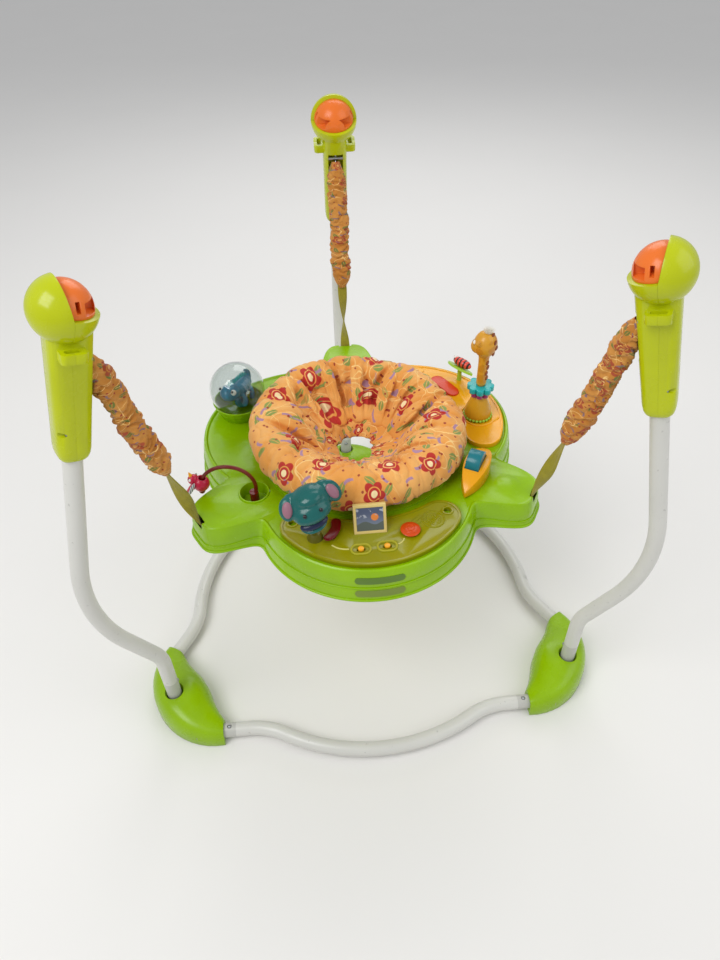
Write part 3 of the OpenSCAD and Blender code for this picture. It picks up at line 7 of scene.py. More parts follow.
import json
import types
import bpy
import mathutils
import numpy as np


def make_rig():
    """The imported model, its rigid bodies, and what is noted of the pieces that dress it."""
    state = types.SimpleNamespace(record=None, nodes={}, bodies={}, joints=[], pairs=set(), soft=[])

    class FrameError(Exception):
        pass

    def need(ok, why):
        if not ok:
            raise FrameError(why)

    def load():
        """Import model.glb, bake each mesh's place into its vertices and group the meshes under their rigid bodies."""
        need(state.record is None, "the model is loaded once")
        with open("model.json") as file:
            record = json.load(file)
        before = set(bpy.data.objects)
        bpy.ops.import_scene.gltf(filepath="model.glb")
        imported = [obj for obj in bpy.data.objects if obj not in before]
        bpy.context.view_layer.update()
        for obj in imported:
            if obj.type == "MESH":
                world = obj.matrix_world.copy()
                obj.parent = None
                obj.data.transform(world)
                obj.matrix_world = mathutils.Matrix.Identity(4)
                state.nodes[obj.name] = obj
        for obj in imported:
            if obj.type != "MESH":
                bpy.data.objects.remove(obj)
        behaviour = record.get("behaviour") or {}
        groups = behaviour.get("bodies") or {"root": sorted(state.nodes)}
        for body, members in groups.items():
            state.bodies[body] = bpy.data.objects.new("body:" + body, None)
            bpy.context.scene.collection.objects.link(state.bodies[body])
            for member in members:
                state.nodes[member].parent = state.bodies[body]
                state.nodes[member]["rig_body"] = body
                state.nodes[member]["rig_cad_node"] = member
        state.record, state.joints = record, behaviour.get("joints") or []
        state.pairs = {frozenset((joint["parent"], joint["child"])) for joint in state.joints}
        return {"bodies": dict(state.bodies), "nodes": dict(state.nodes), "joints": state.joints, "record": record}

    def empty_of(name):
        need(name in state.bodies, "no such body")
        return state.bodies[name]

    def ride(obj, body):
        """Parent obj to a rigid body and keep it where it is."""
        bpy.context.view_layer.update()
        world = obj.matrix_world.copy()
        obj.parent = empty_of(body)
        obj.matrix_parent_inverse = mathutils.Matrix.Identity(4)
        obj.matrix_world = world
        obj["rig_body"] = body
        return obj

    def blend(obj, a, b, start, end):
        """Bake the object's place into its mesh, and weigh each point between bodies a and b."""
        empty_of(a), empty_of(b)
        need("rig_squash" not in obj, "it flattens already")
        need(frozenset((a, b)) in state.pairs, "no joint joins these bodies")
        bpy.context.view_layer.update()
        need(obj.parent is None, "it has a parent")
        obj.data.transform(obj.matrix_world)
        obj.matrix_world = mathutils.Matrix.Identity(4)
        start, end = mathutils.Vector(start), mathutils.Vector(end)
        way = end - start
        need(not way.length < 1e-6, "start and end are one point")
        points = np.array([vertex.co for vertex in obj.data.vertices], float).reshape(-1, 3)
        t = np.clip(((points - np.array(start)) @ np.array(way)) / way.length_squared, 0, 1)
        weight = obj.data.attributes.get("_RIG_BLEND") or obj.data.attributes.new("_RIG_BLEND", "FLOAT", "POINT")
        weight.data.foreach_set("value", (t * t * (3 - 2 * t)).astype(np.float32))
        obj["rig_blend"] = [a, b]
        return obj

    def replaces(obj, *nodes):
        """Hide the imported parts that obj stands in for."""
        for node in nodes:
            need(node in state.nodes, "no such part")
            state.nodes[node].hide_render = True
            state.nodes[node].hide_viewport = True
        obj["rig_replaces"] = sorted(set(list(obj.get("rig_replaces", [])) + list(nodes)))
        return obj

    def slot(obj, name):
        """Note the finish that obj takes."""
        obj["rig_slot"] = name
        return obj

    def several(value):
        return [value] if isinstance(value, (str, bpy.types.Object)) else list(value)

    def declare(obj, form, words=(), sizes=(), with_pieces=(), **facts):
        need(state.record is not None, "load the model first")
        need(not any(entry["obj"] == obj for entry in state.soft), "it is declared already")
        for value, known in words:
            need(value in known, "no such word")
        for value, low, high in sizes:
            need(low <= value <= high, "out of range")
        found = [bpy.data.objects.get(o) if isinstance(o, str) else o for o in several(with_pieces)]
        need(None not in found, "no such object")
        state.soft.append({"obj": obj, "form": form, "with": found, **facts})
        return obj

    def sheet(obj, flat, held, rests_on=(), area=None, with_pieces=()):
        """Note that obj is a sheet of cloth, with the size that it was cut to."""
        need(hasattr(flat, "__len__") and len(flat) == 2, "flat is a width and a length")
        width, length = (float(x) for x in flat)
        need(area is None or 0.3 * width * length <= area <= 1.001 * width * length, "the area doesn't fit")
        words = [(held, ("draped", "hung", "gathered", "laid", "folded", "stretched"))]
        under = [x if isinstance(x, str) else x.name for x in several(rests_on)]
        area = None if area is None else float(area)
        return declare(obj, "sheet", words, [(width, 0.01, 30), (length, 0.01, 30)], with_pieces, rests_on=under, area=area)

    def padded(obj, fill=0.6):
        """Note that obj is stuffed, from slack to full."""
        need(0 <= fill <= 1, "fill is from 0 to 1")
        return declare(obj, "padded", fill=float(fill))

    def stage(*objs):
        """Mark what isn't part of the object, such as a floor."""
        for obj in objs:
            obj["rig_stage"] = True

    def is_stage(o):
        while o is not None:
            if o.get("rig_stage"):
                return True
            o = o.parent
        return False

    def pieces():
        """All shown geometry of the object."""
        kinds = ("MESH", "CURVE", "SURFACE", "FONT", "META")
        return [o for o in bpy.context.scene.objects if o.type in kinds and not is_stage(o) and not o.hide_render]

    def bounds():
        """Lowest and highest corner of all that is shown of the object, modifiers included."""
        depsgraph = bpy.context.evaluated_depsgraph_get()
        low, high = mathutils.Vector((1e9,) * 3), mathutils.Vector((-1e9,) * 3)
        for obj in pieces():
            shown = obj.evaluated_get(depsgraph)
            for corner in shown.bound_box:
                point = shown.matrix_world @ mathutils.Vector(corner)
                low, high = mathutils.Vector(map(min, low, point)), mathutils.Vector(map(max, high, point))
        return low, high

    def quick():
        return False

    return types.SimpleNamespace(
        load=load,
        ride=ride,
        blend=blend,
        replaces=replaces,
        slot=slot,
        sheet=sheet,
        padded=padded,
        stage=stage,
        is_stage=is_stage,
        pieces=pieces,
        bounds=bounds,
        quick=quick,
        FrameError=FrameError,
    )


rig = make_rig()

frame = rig.load()
CAD_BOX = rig.bounds()

import json
import logging
import math
from collections.abc import Callable, Sequence
from dataclasses import dataclass, field
from enum import Enum

import bmesh
import bpy
from mathutils import Euler, Matrix, Vector, noise

LOG = logging.getLogger("jumper")
MM = 0.001
AXIS_Y = -75.92095
POST_TURNS = {"back": 0.0, "left": 120.0, "right": 240.0}
FRONT_LOBE, SIDE_LOBE, BUBBLE_LOBE = 0.0, 120.0, 240.0
FIELD_Z = 427.6
GOLDEN_ANGLE = 2.399963

RGB = tuple[int, int, int]
Colour = tuple[float, float, float, float]
Socket = bpy.types.NodeSocket
Piece = bpy.types.Object


def linear(rgb: RGB, gain: float = 1.0) -> Colour:
    """Turn display values of 0 to 255 into a linear shader colour.

    Args:
        rgb: Red, green and blue as a screen shows them.
        gain: Factor on the linear values.

    Returns:
        The colour with an alpha of one.
    """
    values = []
    for part in rgb:
        share = part / 255
        value = share / 12.92 if share <= 0.04045 else ((share + 0.055) / 1.055) ** 2.4
        values.append(min(1.0, value * gain))
    return (values[0], values[1], values[2], 1.0)


def smooth_step(low: float, high: float, value: float) -> float:
    """Ease from 0 at low to 1 at high."""
    share = max(0.0, min(1.0, (value - low) / (high - low)))
    return share * share * (3 - 2 * share)


def angles(count: int) -> list[float]:
    """Angles of that many even steps round a circle, in radians."""
    return [math.tau * j / count for j in range(count)]


def circle(r: float, z: float, count: int) -> list[Vector]:
    """Level ring of points about the Z axis."""
    return [Vector((r * math.cos(a), r * math.sin(a), z)) for a in angles(count)]


def ripple(a: float, fine: float, along: float, shift: float = 0.0) -> float:
    """Noise that closes on itself round a form.

    Args:
        a: Angle round the form, in radians.
        fine: Radius of the circle that is read from the noise.
        along: Place along the form, in the noise's own steps.
        shift: Offset of the circle's middle.

    Returns:
        A value from about -1 to 1.
    """
    return noise.noise(Vector((math.cos(a) * fine + shift, math.sin(a) * fine, along)))


# Places

def rotation(deg: float, axis: str = "Z") -> Matrix:
    """Turn about an axis, in degrees."""
    return Matrix.Rotation(math.radians(deg), 4, axis)


def post_frame(turn: float) -> Matrix:
    """Frame of a post or lobe, turned about the tripod's axis."""
    return Matrix.Translation((0, AXIS_Y, 0)) @ rotation(turn)


def spot(turn: float, x: float, y: float, z: float = 0.0, spin: float = 0.0) -> Matrix:
    """Frame at a place on a lobe or ear.

    Args:
        turn: Turn of the lobe or ear about the axis, in degrees.
        x: Place across the lobe.
        y: Place along the lobe, negative outwards on a lobe.
        z: Height over the floor.
        spin: Turn of the piece about its own upright axis.

    Returns:
        The frame as a matrix in millimetres.
    """
    return post_frame(turn) @ Matrix.Translation((x, y, z)) @ rotation(spin)


LOBE_C, LOBE_R, EAR_REACH, EAR_HALF = 108.0, 172.0, 303.0, 56.0
EAR_POWER, BLEND_POWER = 4, 14
EDGE_STEP = 360 / 108


def ear_angle(deg: float) -> float:
    """Angle from the nearest ear of the tray."""
    return (deg - 30) % 120 - 60


def tray_edge(deg: float) -> float:
    """Radius of the tray's outline at an angle about the axis, with lobes and ears blended."""
    off = math.radians(ear_angle(deg))
    away = math.radians(60) - abs(off)
    lobe = LOBE_C * math.cos(away) + math.sqrt(LOBE_R ** 2 - (LOBE_C * math.sin(away)) ** 2)
    long, wide = math.cos(off) / EAR_REACH, abs(math.sin(off)) / EAR_HALF
    ear = (long ** EAR_POWER + wide ** EAR_POWER) ** (-1 / EAR_POWER)
    return (lobe ** BLEND_POWER + ear ** BLEND_POWER) ** (1 / BLEND_POWER)


PIN_Y, PIN_Z = 376.536, 752.439
ANCHOR_Y, ANCHOR_Z = 288.0, 399.0


def line_frame(turn: float) -> Matrix:
    """Frame of a suspension line: origin at the hanger pin, Z up along the line, Y outwards."""
    up = Vector((0, PIN_Y - ANCHOR_Y, PIN_Z - ANCHOR_Z)).normalized()
    side = Vector((1, 0, 0))
    basis = Matrix((side, up.cross(side), up)).transposed().to_4x4()
    return post_frame(turn) @ Matrix.Translation((0, PIN_Y, PIN_Z)) @ basis


# Materials

class Recipe:
    """Lays the shader nodes of one material."""

    def __init__(self, name: str) -> None:
        """Start a material with a plain Principled shader."""
        self.material = bpy.data.materials.new(name)
        self.material.use_nodes = True
        self.tree = self.material.node_tree
        self.shader = self.tree.nodes["Principled BSDF"]

    def put(self, kind: str, props: dict | None = None, **inputs: object) -> bpy.types.Node:
        """Add a node.

        Args:
            kind: Type name of the node.
            props: Settings of the node.
            inputs: Values or sockets by input name, or by place as i0, i1 and so on.

        Returns:
            The new node.
        """
        node = self.tree.nodes.new(kind)
        for key, value in (props or {}).items():
            setattr(node, key, value)
        for key, value in inputs.items():
            by_place = key[0] == "i" and key[1:].isdigit()
            self.feed(node.inputs[int(key[1:])] if by_place else node.inputs[key.replace("_", " ")], value)
        return node

    def feed(self, socket: Socket, value: object) -> None:
        """Link a socket to an input, or set the input's value."""
        if isinstance(value, bpy.types.NodeSocket):
            self.tree.links.new(value, socket)
        else:
            socket.default_value = value

    def place(self) -> Socket:
        """Coordinates of the object's own frame, in metres."""
        return self.put("ShaderNodeTexCoord").outputs["Object"]

    def flat(self) -> Socket:
        """Coordinates of the cloth's flat cut, in metres."""
        return self.put("ShaderNodeUVMap", {"uv_map": "Flat"}).outputs["UV"]

    def noise(self, where: Socket, scale: float, detail: float = 3.0) -> Socket:
        """Soft noise from 0 to 1."""
        return self.put("ShaderNodeTexNoise", Vector=where, Scale=scale, Detail=detail).outputs["Fac"]

    def math(self, kind: str, a: object, b: object = 0.0) -> Socket:
        """One sum of two values."""
        return self.put("ShaderNodeMath", {"operation": kind}, i0=a, i1=b).outputs[0]

    def band(self, value: Socket, low: float, high: float, start: float = 0.0, end: float = 1.0) -> Socket:
        """Ease a value from start to end between two limits."""
        node = self.put("ShaderNodeMapRange", {"interpolation_type": "SMOOTHSTEP"}, Value=value,
                        i1=low, i2=high, i3=start, i4=end)
        return node.outputs[0]

    def mix(self, share: object, a: object, b: object) -> Socket:
        """Mix two colours."""
        return self.put("ShaderNodeMix", {"data_type": "RGBA"}, i0=share, i6=a, i7=b).outputs[2]

    def vector(self, kind: str, a: object, b: object) -> bpy.types.Node:
        """One sum of two vectors."""
        return self.put("ShaderNodeVectorMath", {"operation": kind}, i0=a, i1=b)

    def bump(self, height: Socket, strength: float, reach: float, normal: Socket | None = None) -> Socket:
        """Raise a surface by a height, over an earlier bump where one is given."""
        node = self.put("ShaderNodeBump", Strength=strength, Distance=reach, Height=height)
        if normal is not None:
            self.feed(node.inputs["Normal"], normal)
        return node.outputs[0]

    def set(self, **inputs: object) -> None:
        """Set inputs of the Principled shader by name, with _ for a space."""
        for key, value in inputs.items():
            self.feed(self.shader.inputs[key.replace("_", " ")], value)

    def motif(self, flat: Socket, pitch: float, loose: float,
              shift: float) -> tuple[Socket, Socket, Socket, Socket]:
        """Scatter a motif over the cloth.

        Args:
            flat: Coordinates of the flat cut.
            pitch: Distance between motifs, in metres.
            loose: How far a motif strays from a regular grid, from 0 to 1.
            shift: Offset that gives each kind of motif its own scatter.

        Returns:
            The motif's own x and y in metres, its distance from the middle, and a random value.
        """
        moved = self.vector("ADD", flat, (shift, shift * 1.7, 0.0)).outputs[0]
        cells = self.put("ShaderNodeTexVoronoi", {"voronoi_dimensions": "2D"}, Vector=moved,
                         Scale=1 / pitch, Randomness=loose)
        local = self.vector("SUBTRACT", moved, cells.outputs["Position"]).outputs[0]
        chance = self.put("ShaderNodeSeparateColor", Color=cells.outputs["Color"]).outputs[0]
        turned = self.put("ShaderNodeVectorRotate", {"rotation_type": "Z_AXIS"}, Vector=local,
                          Angle=self.math("MULTIPLY", chance, math.tau))
        parts = self.put("ShaderNodeSeparateXYZ", Vector=turned.outputs[0])
        reach = self.vector("LENGTH", local, (0.0, 0.0, 0.0)).outputs["Value"]
        return parts.outputs[0], parts.outputs[1], reach, chance


MADE: dict[str, bpy.types.Material] = {}


class Finish:
    """A surface finish that makes its material once."""

    name: str

    def recipe(self) -> Recipe:
        """Lay the material's nodes."""
        raise NotImplementedError

    def material(self) -> bpy.types.Material:
        """The finish's material, made at first use."""
        if self.name not in MADE:
            MADE[self.name] = self.recipe().material
        return MADE[self.name]


@dataclass(frozen=True)
class Moulded(Finish):
    """Injection-moulded plastic with a little cloudiness, fine grain and rubbed patches."""

    name: str
    rgb: RGB
    rough: float = 0.3
    coat: float = 0.15
    grain: float = 0.12

    def recipe(self) -> Recipe:
        """Lay the material's nodes."""
        r = Recipe(self.name)
        where = r.place()
        cloud = r.band(r.noise(where, 14, 2), 0.3, 0.7)
        fleck = r.band(r.noise(where, 420, 2), 0.62, 0.75, 0.0, 0.35)
        tone = r.mix(cloud, linear(self.rgb, 0.93), linear(self.rgb, 1.04))
        tone = r.mix(fleck, tone, linear(self.rgb, 0.86))
        rubbed = r.band(r.noise(where, 38, 5), 0.35, 0.75, self.rough - 0.05, self.rough + 0.1)
        r.set(Base_Color=tone, Roughness=rubbed, Specular_IOR_Level=0.3)
        r.set(Coat_Weight=self.coat, Coat_Roughness=0.12)
        r.set(Normal=r.bump(r.noise(where, 900, 2), self.grain, 0.0003))
        return r


@dataclass(frozen=True)
class Painted(Finish):
    """Powder-coated steel tube: fine orange peel, pale scuffs along the tube."""

    name: str
    rgb: RGB
    rough: float = 0.34

    def recipe(self) -> Recipe:
        """Lay the material's nodes."""
        r = Recipe(self.name)
        where = r.place()
        drift = r.band(r.noise(where, 6, 3), 0.3, 0.7)
        tone = r.mix(drift, linear(self.rgb, 0.95), linear(self.rgb, 1.03))
        scuff = r.band(r.noise(where, 150, 6), 0.66, 0.72, 0.0, 0.5)
        tone = r.mix(scuff, tone, linear((168, 166, 160)))
        rubbed = r.band(r.noise(where, 55, 4), 0.3, 0.7, self.rough - 0.06, self.rough + 0.12)
        r.set(Base_Color=tone, Roughness=rubbed)
        r.set(Coat_Weight=0.2, Coat_Roughness=0.18, Normal=r.bump(r.noise(where, 520, 2), 0.1, 0.0004))
        return r


@dataclass(frozen=True)
class Steel(Finish):
    """Zinc-plated steel with a brushed, slightly dull surface."""

    name: str
    rgb: RGB = (176, 178, 180)

    def recipe(self) -> Recipe:
        """Lay the material's nodes."""
        r = Recipe(self.name)
        where = r.place()
        tone = r.mix(r.noise(where, 90, 4), linear(self.rgb, 0.75), linear(self.rgb))
        r.set(Base_Color=tone, Metallic=1.0, Roughness=r.band(r.noise(where, 240, 4), 0.3, 0.7, 0.24, 0.42))
        r.set(Normal=r.bump(r.noise(where, 700, 3), 0.08, 0.0002))
        return r


@dataclass(frozen=True)
class Rubber(Finish):
    """Matt rubber with a pebbled face."""

    name: str
    rgb: RGB

    def recipe(self) -> Recipe:
        """Lay the material's nodes."""
        r = Recipe(self.name)
        where = r.place()
        tone = r.mix(r.noise(where, 40, 4), linear(self.rgb, 0.8), linear(self.rgb, 1.15))
        cells = r.put("ShaderNodeTexVoronoi", Vector=where, Scale=600.0).outputs["Distance"]
        r.set(Base_Color=tone, Roughness=r.band(cells, 0.0, 0.8, 0.66, 0.85))
        r.set(Normal=r.bump(cells, 0.3, 0.0003))
        return r


@dataclass(frozen=True)
class ClearShell(Finish):
    """Clear moulded shell with faint haze and fine rubbed marks."""

    name: str
    rgb: RGB = (232, 238, 236)

    def recipe(self) -> Recipe:
        """Lay the material's nodes."""
        r = Recipe(self.name)
        where = r.place()
        haze = r.band(r.noise(where, 45, 5), 0.45, 0.8, 0.03, 0.16)
        r.set(Base_Color=linear(self.rgb), Transmission_Weight=1.0, IOR=1.2, Roughness=haze)
        r.set(Coat_Weight=0.6, Coat_Roughness=0.05, Normal=r.bump(r.noise(where, 22, 2), 0.05, 0.001))
        return r


# The print's motifs, in metres at full scale
DOT_PITCH, DOT_R = 0.021, 0.0016
FLOWER_PITCH, PETAL_NEAR, PETAL_WAVE, FLOWER_VEIN, HEART_R = 0.076, 0.0108, 0.0062, 0.0088, 0.0042
LEAF_PITCH, LEAF_HALF, LEAF_WIDTH = 0.033, 0.011, 0.0046
DASH_PITCH, DASH_HALF, DASH_WIDTH, DASH_BEND = 0.029, 0.0065, 0.0017, 38.0
WEAVE_SCALE = 380.0


@dataclass(frozen=True)
class Printed(Finish):
    """Peach cotton with a scattered print of five-petalled flowers, leaves, dashes and dots."""

    name: str
    ground: RGB = (228, 154, 68)
    patch: RGB = (237, 174, 94)
    petal: RGB = (184, 36, 28)
    leaf: RGB = (136, 152, 72)
    dash: RGB = (172, 132, 156)
    scale: float = 1.0
    heart: RGB = (248, 224, 170)

    def recipe(self) -> Recipe:
        """Lay the material's nodes."""
        r = Recipe(self.name)
        flat = r.flat()
        size = self.scale
        drift = r.band(r.noise(flat, 16 / size, 2), 0.4, 0.6)
        tone = r.mix(drift, linear(self.ground), linear(self.patch))
        tone = r.mix(self.squiggle(r, flat), tone, linear((246, 204, 128)))
        tone = r.mix(self.leaves(r, flat), tone, linear(self.leaf))
        tone = r.mix(self.dashes(r, flat), tone, linear(self.dash))
        dots = r.motif(flat, DOT_PITCH * size, 0.9, 0.9)
        tone = r.mix(r.band(dots[2], DOT_R * size, 0.002 * size, 0.9, 0.0), tone, linear((150, 40, 34)))
        petals, middle = self.flowers(r, flat)
        tone = r.mix(petals, tone, linear(self.petal))
        tone = r.mix(middle, tone, linear(self.heart))
        weave = self.weave(r, flat)
        tone = r.mix(r.math("MULTIPLY", weave, 0.14), tone, linear((120, 70, 40)))
        nap = r.noise(flat, 260, 3)
        r.set(Base_Color=tone, Roughness=r.band(nap, 0.3, 0.7, 0.74, 0.92))
        r.set(Sheen_Weight=0.12, Sheen_Roughness=0.5)
        soft = r.bump(r.noise(flat, 70, 4), 0.3, 0.003)
        r.set(Normal=r.bump(weave, 0.22, 0.0004, soft))
        return r

    def flowers(self, r: Recipe, flat: Socket) -> tuple[Socket, Socket]:
        """Masks of the petals and of the flowers' middles."""
        x, y, reach, _ = r.motif(flat, FLOWER_PITCH * self.scale, 0.7, 0.3)
        turn = r.math("ARCTAN2", y, x)
        wave = r.math("ABSOLUTE", r.math("COSINE", r.math("MULTIPLY", turn, 2.5)))
        edge = r.math("MULTIPLY_ADD", wave, PETAL_WAVE * self.scale)
        edge.node.inputs[2].default_value = PETAL_NEAR * self.scale
        gone = r.math("SUBTRACT", reach, edge)
        petals = r.band(gone, -0.0007, 0.0007, 1.0, 0.0)
        off_vein = r.math("ABSOLUTE", r.math("SUBTRACT", reach, FLOWER_VEIN * self.scale))
        vein = r.band(off_vein, 0.0005, 0.0011)
        middle = r.band(reach, HEART_R * self.scale, (HEART_R + 0.001) * self.scale, 1.0, 0.0)
        return r.math("MULTIPLY", petals, vein), middle

    def leaves(self, r: Recipe, flat: Socket) -> Socket:
        """Mask of pointed leaves with a pale rib."""
        x, y, _, chance = r.motif(flat, LEAF_PITCH * self.scale, 0.95, 1.7)
        along = r.math("DIVIDE", x, LEAF_HALF * self.scale)
        taper = r.math("SUBTRACT", 1.0, r.math("MULTIPLY", along, along))
        width = r.math("MULTIPLY", taper, LEAF_WIDTH * self.scale)
        inside = r.band(r.math("SUBTRACT", r.math("ABSOLUTE", y), width), -0.0004, 0.0004, 1.0, 0.0)
        rib = r.band(r.math("ABSOLUTE", y), 0.0003, 0.0007)
        return r.math("MULTIPLY", r.math("MULTIPLY", inside, rib), r.band(chance, 0.18, 0.22))

    def dashes(self, r: Recipe, flat: Socket) -> Socket:
        """Mask of short lilac strokes."""
        x, y, _, chance = r.motif(flat, DASH_PITCH * self.scale, 0.95, 3.1)
        long = r.band(r.math("ABSOLUTE", x), DASH_HALF * self.scale, 0.0072 * self.scale, 1.0, 0.0)
        bent = r.math("ADD", y, r.math("MULTIPLY", r.math("MULTIPLY", x, x), DASH_BEND / self.scale))
        wide = r.band(r.math("ABSOLUTE", bent), DASH_WIDTH * self.scale, 0.0023 * self.scale, 1.0, 0.0)
        return r.math("MULTIPLY", r.math("MULTIPLY", long, wide), r.band(chance, 0.3, 0.34))

    def squiggle(self, r: Recipe, flat: Socket) -> Socket:
        """Mask of thin pale lines that wander over the ground."""
        lines = 0.0
        for fine, level in ((15, 0.52), (27, 0.5), (21, 0.44)):
            away = r.math("ABSOLUTE", r.math("SUBTRACT", r.noise(flat, fine / self.scale, 0), level))
            lines = r.math("MAXIMUM", lines, r.band(away, 0.003, 0.009, 1.0, 0.0))
        return r.math("MULTIPLY", lines, r.band(r.noise(flat, 9 / self.scale, 0), 0.4, 0.5))

    def weave(self, r: Recipe, flat: Socket) -> Socket:
        """Height of a plain weave."""
        waves = [r.put("ShaderNodeTexWave", {"bands_direction": way}, Vector=flat, Scale=WEAVE_SCALE)
                 for way in "XY"]
        return r.math("MULTIPLY", waves[0].outputs["Fac"], waves[1].outputs["Fac"])


@dataclass(frozen=True)
class Webbing(Finish):
    """Woven strap: ribs across, a herringbone along, and soft lighter patches that paint a glossy highlight."""

    name: str
    rgb: RGB

    def recipe(self) -> Recipe:
        """Lay the material's nodes."""
        r = Recipe(self.name)
        flat = r.flat()
        parts = r.put("ShaderNodeSeparateXYZ", Vector=flat)
        lean = r.math("PINGPONG", parts.outputs[0], 0.003)
        along = r.math("ADD", parts.outputs[1], lean)
        ribs = r.math("SINE", r.math("MULTIPLY", along, math.tau / 0.0018))
        rows = r.math("SINE", r.math("MULTIPLY", parts.outputs[0], math.tau / 0.0015))
        height = r.math("ADD", r.math("MULTIPLY", ribs, 0.7), r.math("MULTIPLY", rows, 0.3))
        tone = r.mix(r.band(height, -0.9, 0.9), linear(self.rgb, 0.55), linear(self.rgb, 1.15))
        # Lighter patches: painted glossy highlight on the webbing.
        tone = r.mix(r.band(r.noise(flat, 60, 4), 0.4, 0.8, 0.0, 0.35), tone, linear(self.rgb, 1.5))
        r.set(Base_Color=tone, Roughness=r.band(height, -1.0, 1.0, 0.85, 0.68), Sheen_Weight=0.2)
        r.set(Normal=r.bump(height, 0.5, 0.0004))
        return r


@dataclass(frozen=True)
class Patched(Finish):
    """Moulded toy with soft-edged patches of a second colour."""

    name: str
    rgb: RGB
    patch: RGB
    pitch: float = 0.016

    def recipe(self) -> Recipe:
        """Lay the material's nodes."""
        r = Recipe(self.name)
        where = r.place()
        cells = r.put("ShaderNodeTexVoronoi", {"feature": "DISTANCE_TO_EDGE"}, Vector=where,
                      Scale=1 / self.pitch)
        inside = r.band(cells.outputs["Distance"], 0.1, 0.16)
        tone = r.mix(inside, linear(self.rgb), linear(self.patch))
        r.set(Base_Color=tone, Roughness=r.band(r.noise(where, 60, 4), 0.3, 0.7, 0.3, 0.45), Coat_Weight=0.15)
        r.set(Normal=r.bump(inside, 0.15, 0.0006))
        return r


@dataclass(frozen=True)
class Striped(Finish):
    """Moulded toy with dark bands across its own length, which its UV map gives."""

    name: str
    rgb: RGB
    band_rgb: RGB
    pitch: float
    share: float = 0.45

    def recipe(self) -> Recipe:
        """Lay the material's nodes."""
        r = Recipe(self.name)
        along = r.put("ShaderNodeSeparateXYZ", Vector=r.flat()).outputs[1]
        wave = r.math("PINGPONG", along, self.pitch / 2)
        edge, soft = self.pitch / 2 * (1 - self.share), 0.0003
        dark = r.band(wave, edge - soft, edge + soft)
        tone = r.mix(dark, linear(self.rgb), linear(self.band_rgb))
        grain = r.noise(r.place(), 700, 2)
        r.set(Base_Color=tone, Roughness=r.band(grain, 0.3, 0.7, 0.28, 0.4), Coat_Weight=0.2)
        r.set(Normal=r.bump(grain, 0.08, 0.0003))
        return r


@dataclass(frozen=True)
class Landscape(Finish):
    """Card printed with a generic scene: a pale sky, a hill, a ball and pale clouds."""

    name: str

    def recipe(self) -> Recipe:
        """Lay the material's nodes."""
        r = Recipe(self.name)
        flat = r.flat()
        parts = r.put("ShaderNodeSeparateXYZ", Vector=flat)
        x, y = parts.outputs[0], parts.outputs[1]
        sky = r.mix(r.band(y, -0.012, 0.014), linear((112, 122, 140)), linear((70, 80, 106)))
        hill = r.math("ADD", y, r.math("MULTIPLY", r.math("SINE", r.math("MULTIPLY", x, 210.0)), 0.0025))
        tone = r.mix(r.band(hill, -0.006, -0.0055, 1.0, 0.0), sky, linear((84, 92, 84)))
        ball = r.vector("DISTANCE", flat, (0.007, 0.003, 0.0)).outputs["Value"]
        tone = r.mix(r.band(ball, 0.0052, 0.0057, 1.0, 0.0), tone, linear((226, 128, 44)))
        cloud = r.band(r.noise(flat, 120, 3), 0.56, 0.62)
        tone = r.mix(r.math("MULTIPLY", cloud, r.band(y, 0.001, 0.004)), tone, linear((168, 172, 182)))
        grain = r.noise(flat, 900, 2)
        r.set(Base_Color=tone, Roughness=r.band(grain, 0.3, 0.7, 0.3, 0.42), Coat_Weight=0.4)
        r.set(Normal=r.bump(grain, 0.05, 0.0002))
        return r


@dataclass(frozen=True)
class PaleFloor(Finish):
    """Plain pale studio floor."""

    name: str
    rgb: RGB = (232, 230, 226)

    def recipe(self) -> Recipe:
        """Lay the material's nodes."""
        r = Recipe(self.name)
        where = r.place()
        tone = r.mix(r.noise(where, 2.5, 2), linear(self.rgb, 0.985), linear(self.rgb, 1.01))
        r.set(Base_Color=tone, Roughness=0.8, Specular_IOR_Level=0.1)
        return r


GREEN = Moulded("tray_green", (140, 184, 0), 0.25, 0.08)
STEM_OLIVE = Moulded("stem_olive", (96, 92, 22), 0.34, 0.08)
LIME = Moulded("head_lime", (184, 194, 6), 0.25, 0.15)
FOOT_GREEN = Moulded("foot_green", (140, 180, 0), 0.27, 0.08)
WHITE_TUBE = Painted("tube_white", (208, 207, 200))
STUB_TUBE = Painted("tube_stub", (188, 187, 180))
STEEL = Steel("plated_steel")
PRINT = Printed("printed_cotton")
# Same printed cotton as the pad, with darker colours: painted shade for the shade and creases that the sleeves hang
# in.
SHADED_SLEEVE_PRINT = Printed("sleeve_cotton", ground=(190, 122, 40), patch=(202, 138, 58), petal=(166, 72, 36),
                       leaf=(108, 118, 48), dash=(136, 106, 112), scale=0.8, heart=(206, 150, 80))
HEM = Moulded("hem_binding", (206, 120, 60), 0.8, 0.0, 0.5)
EYE_WHITE = Moulded("eye_white", (236, 234, 226), 0.2, 0.4)
EYE_DARK = Moulded("eye_dark", (24, 22, 26), 0.15, 0.5)

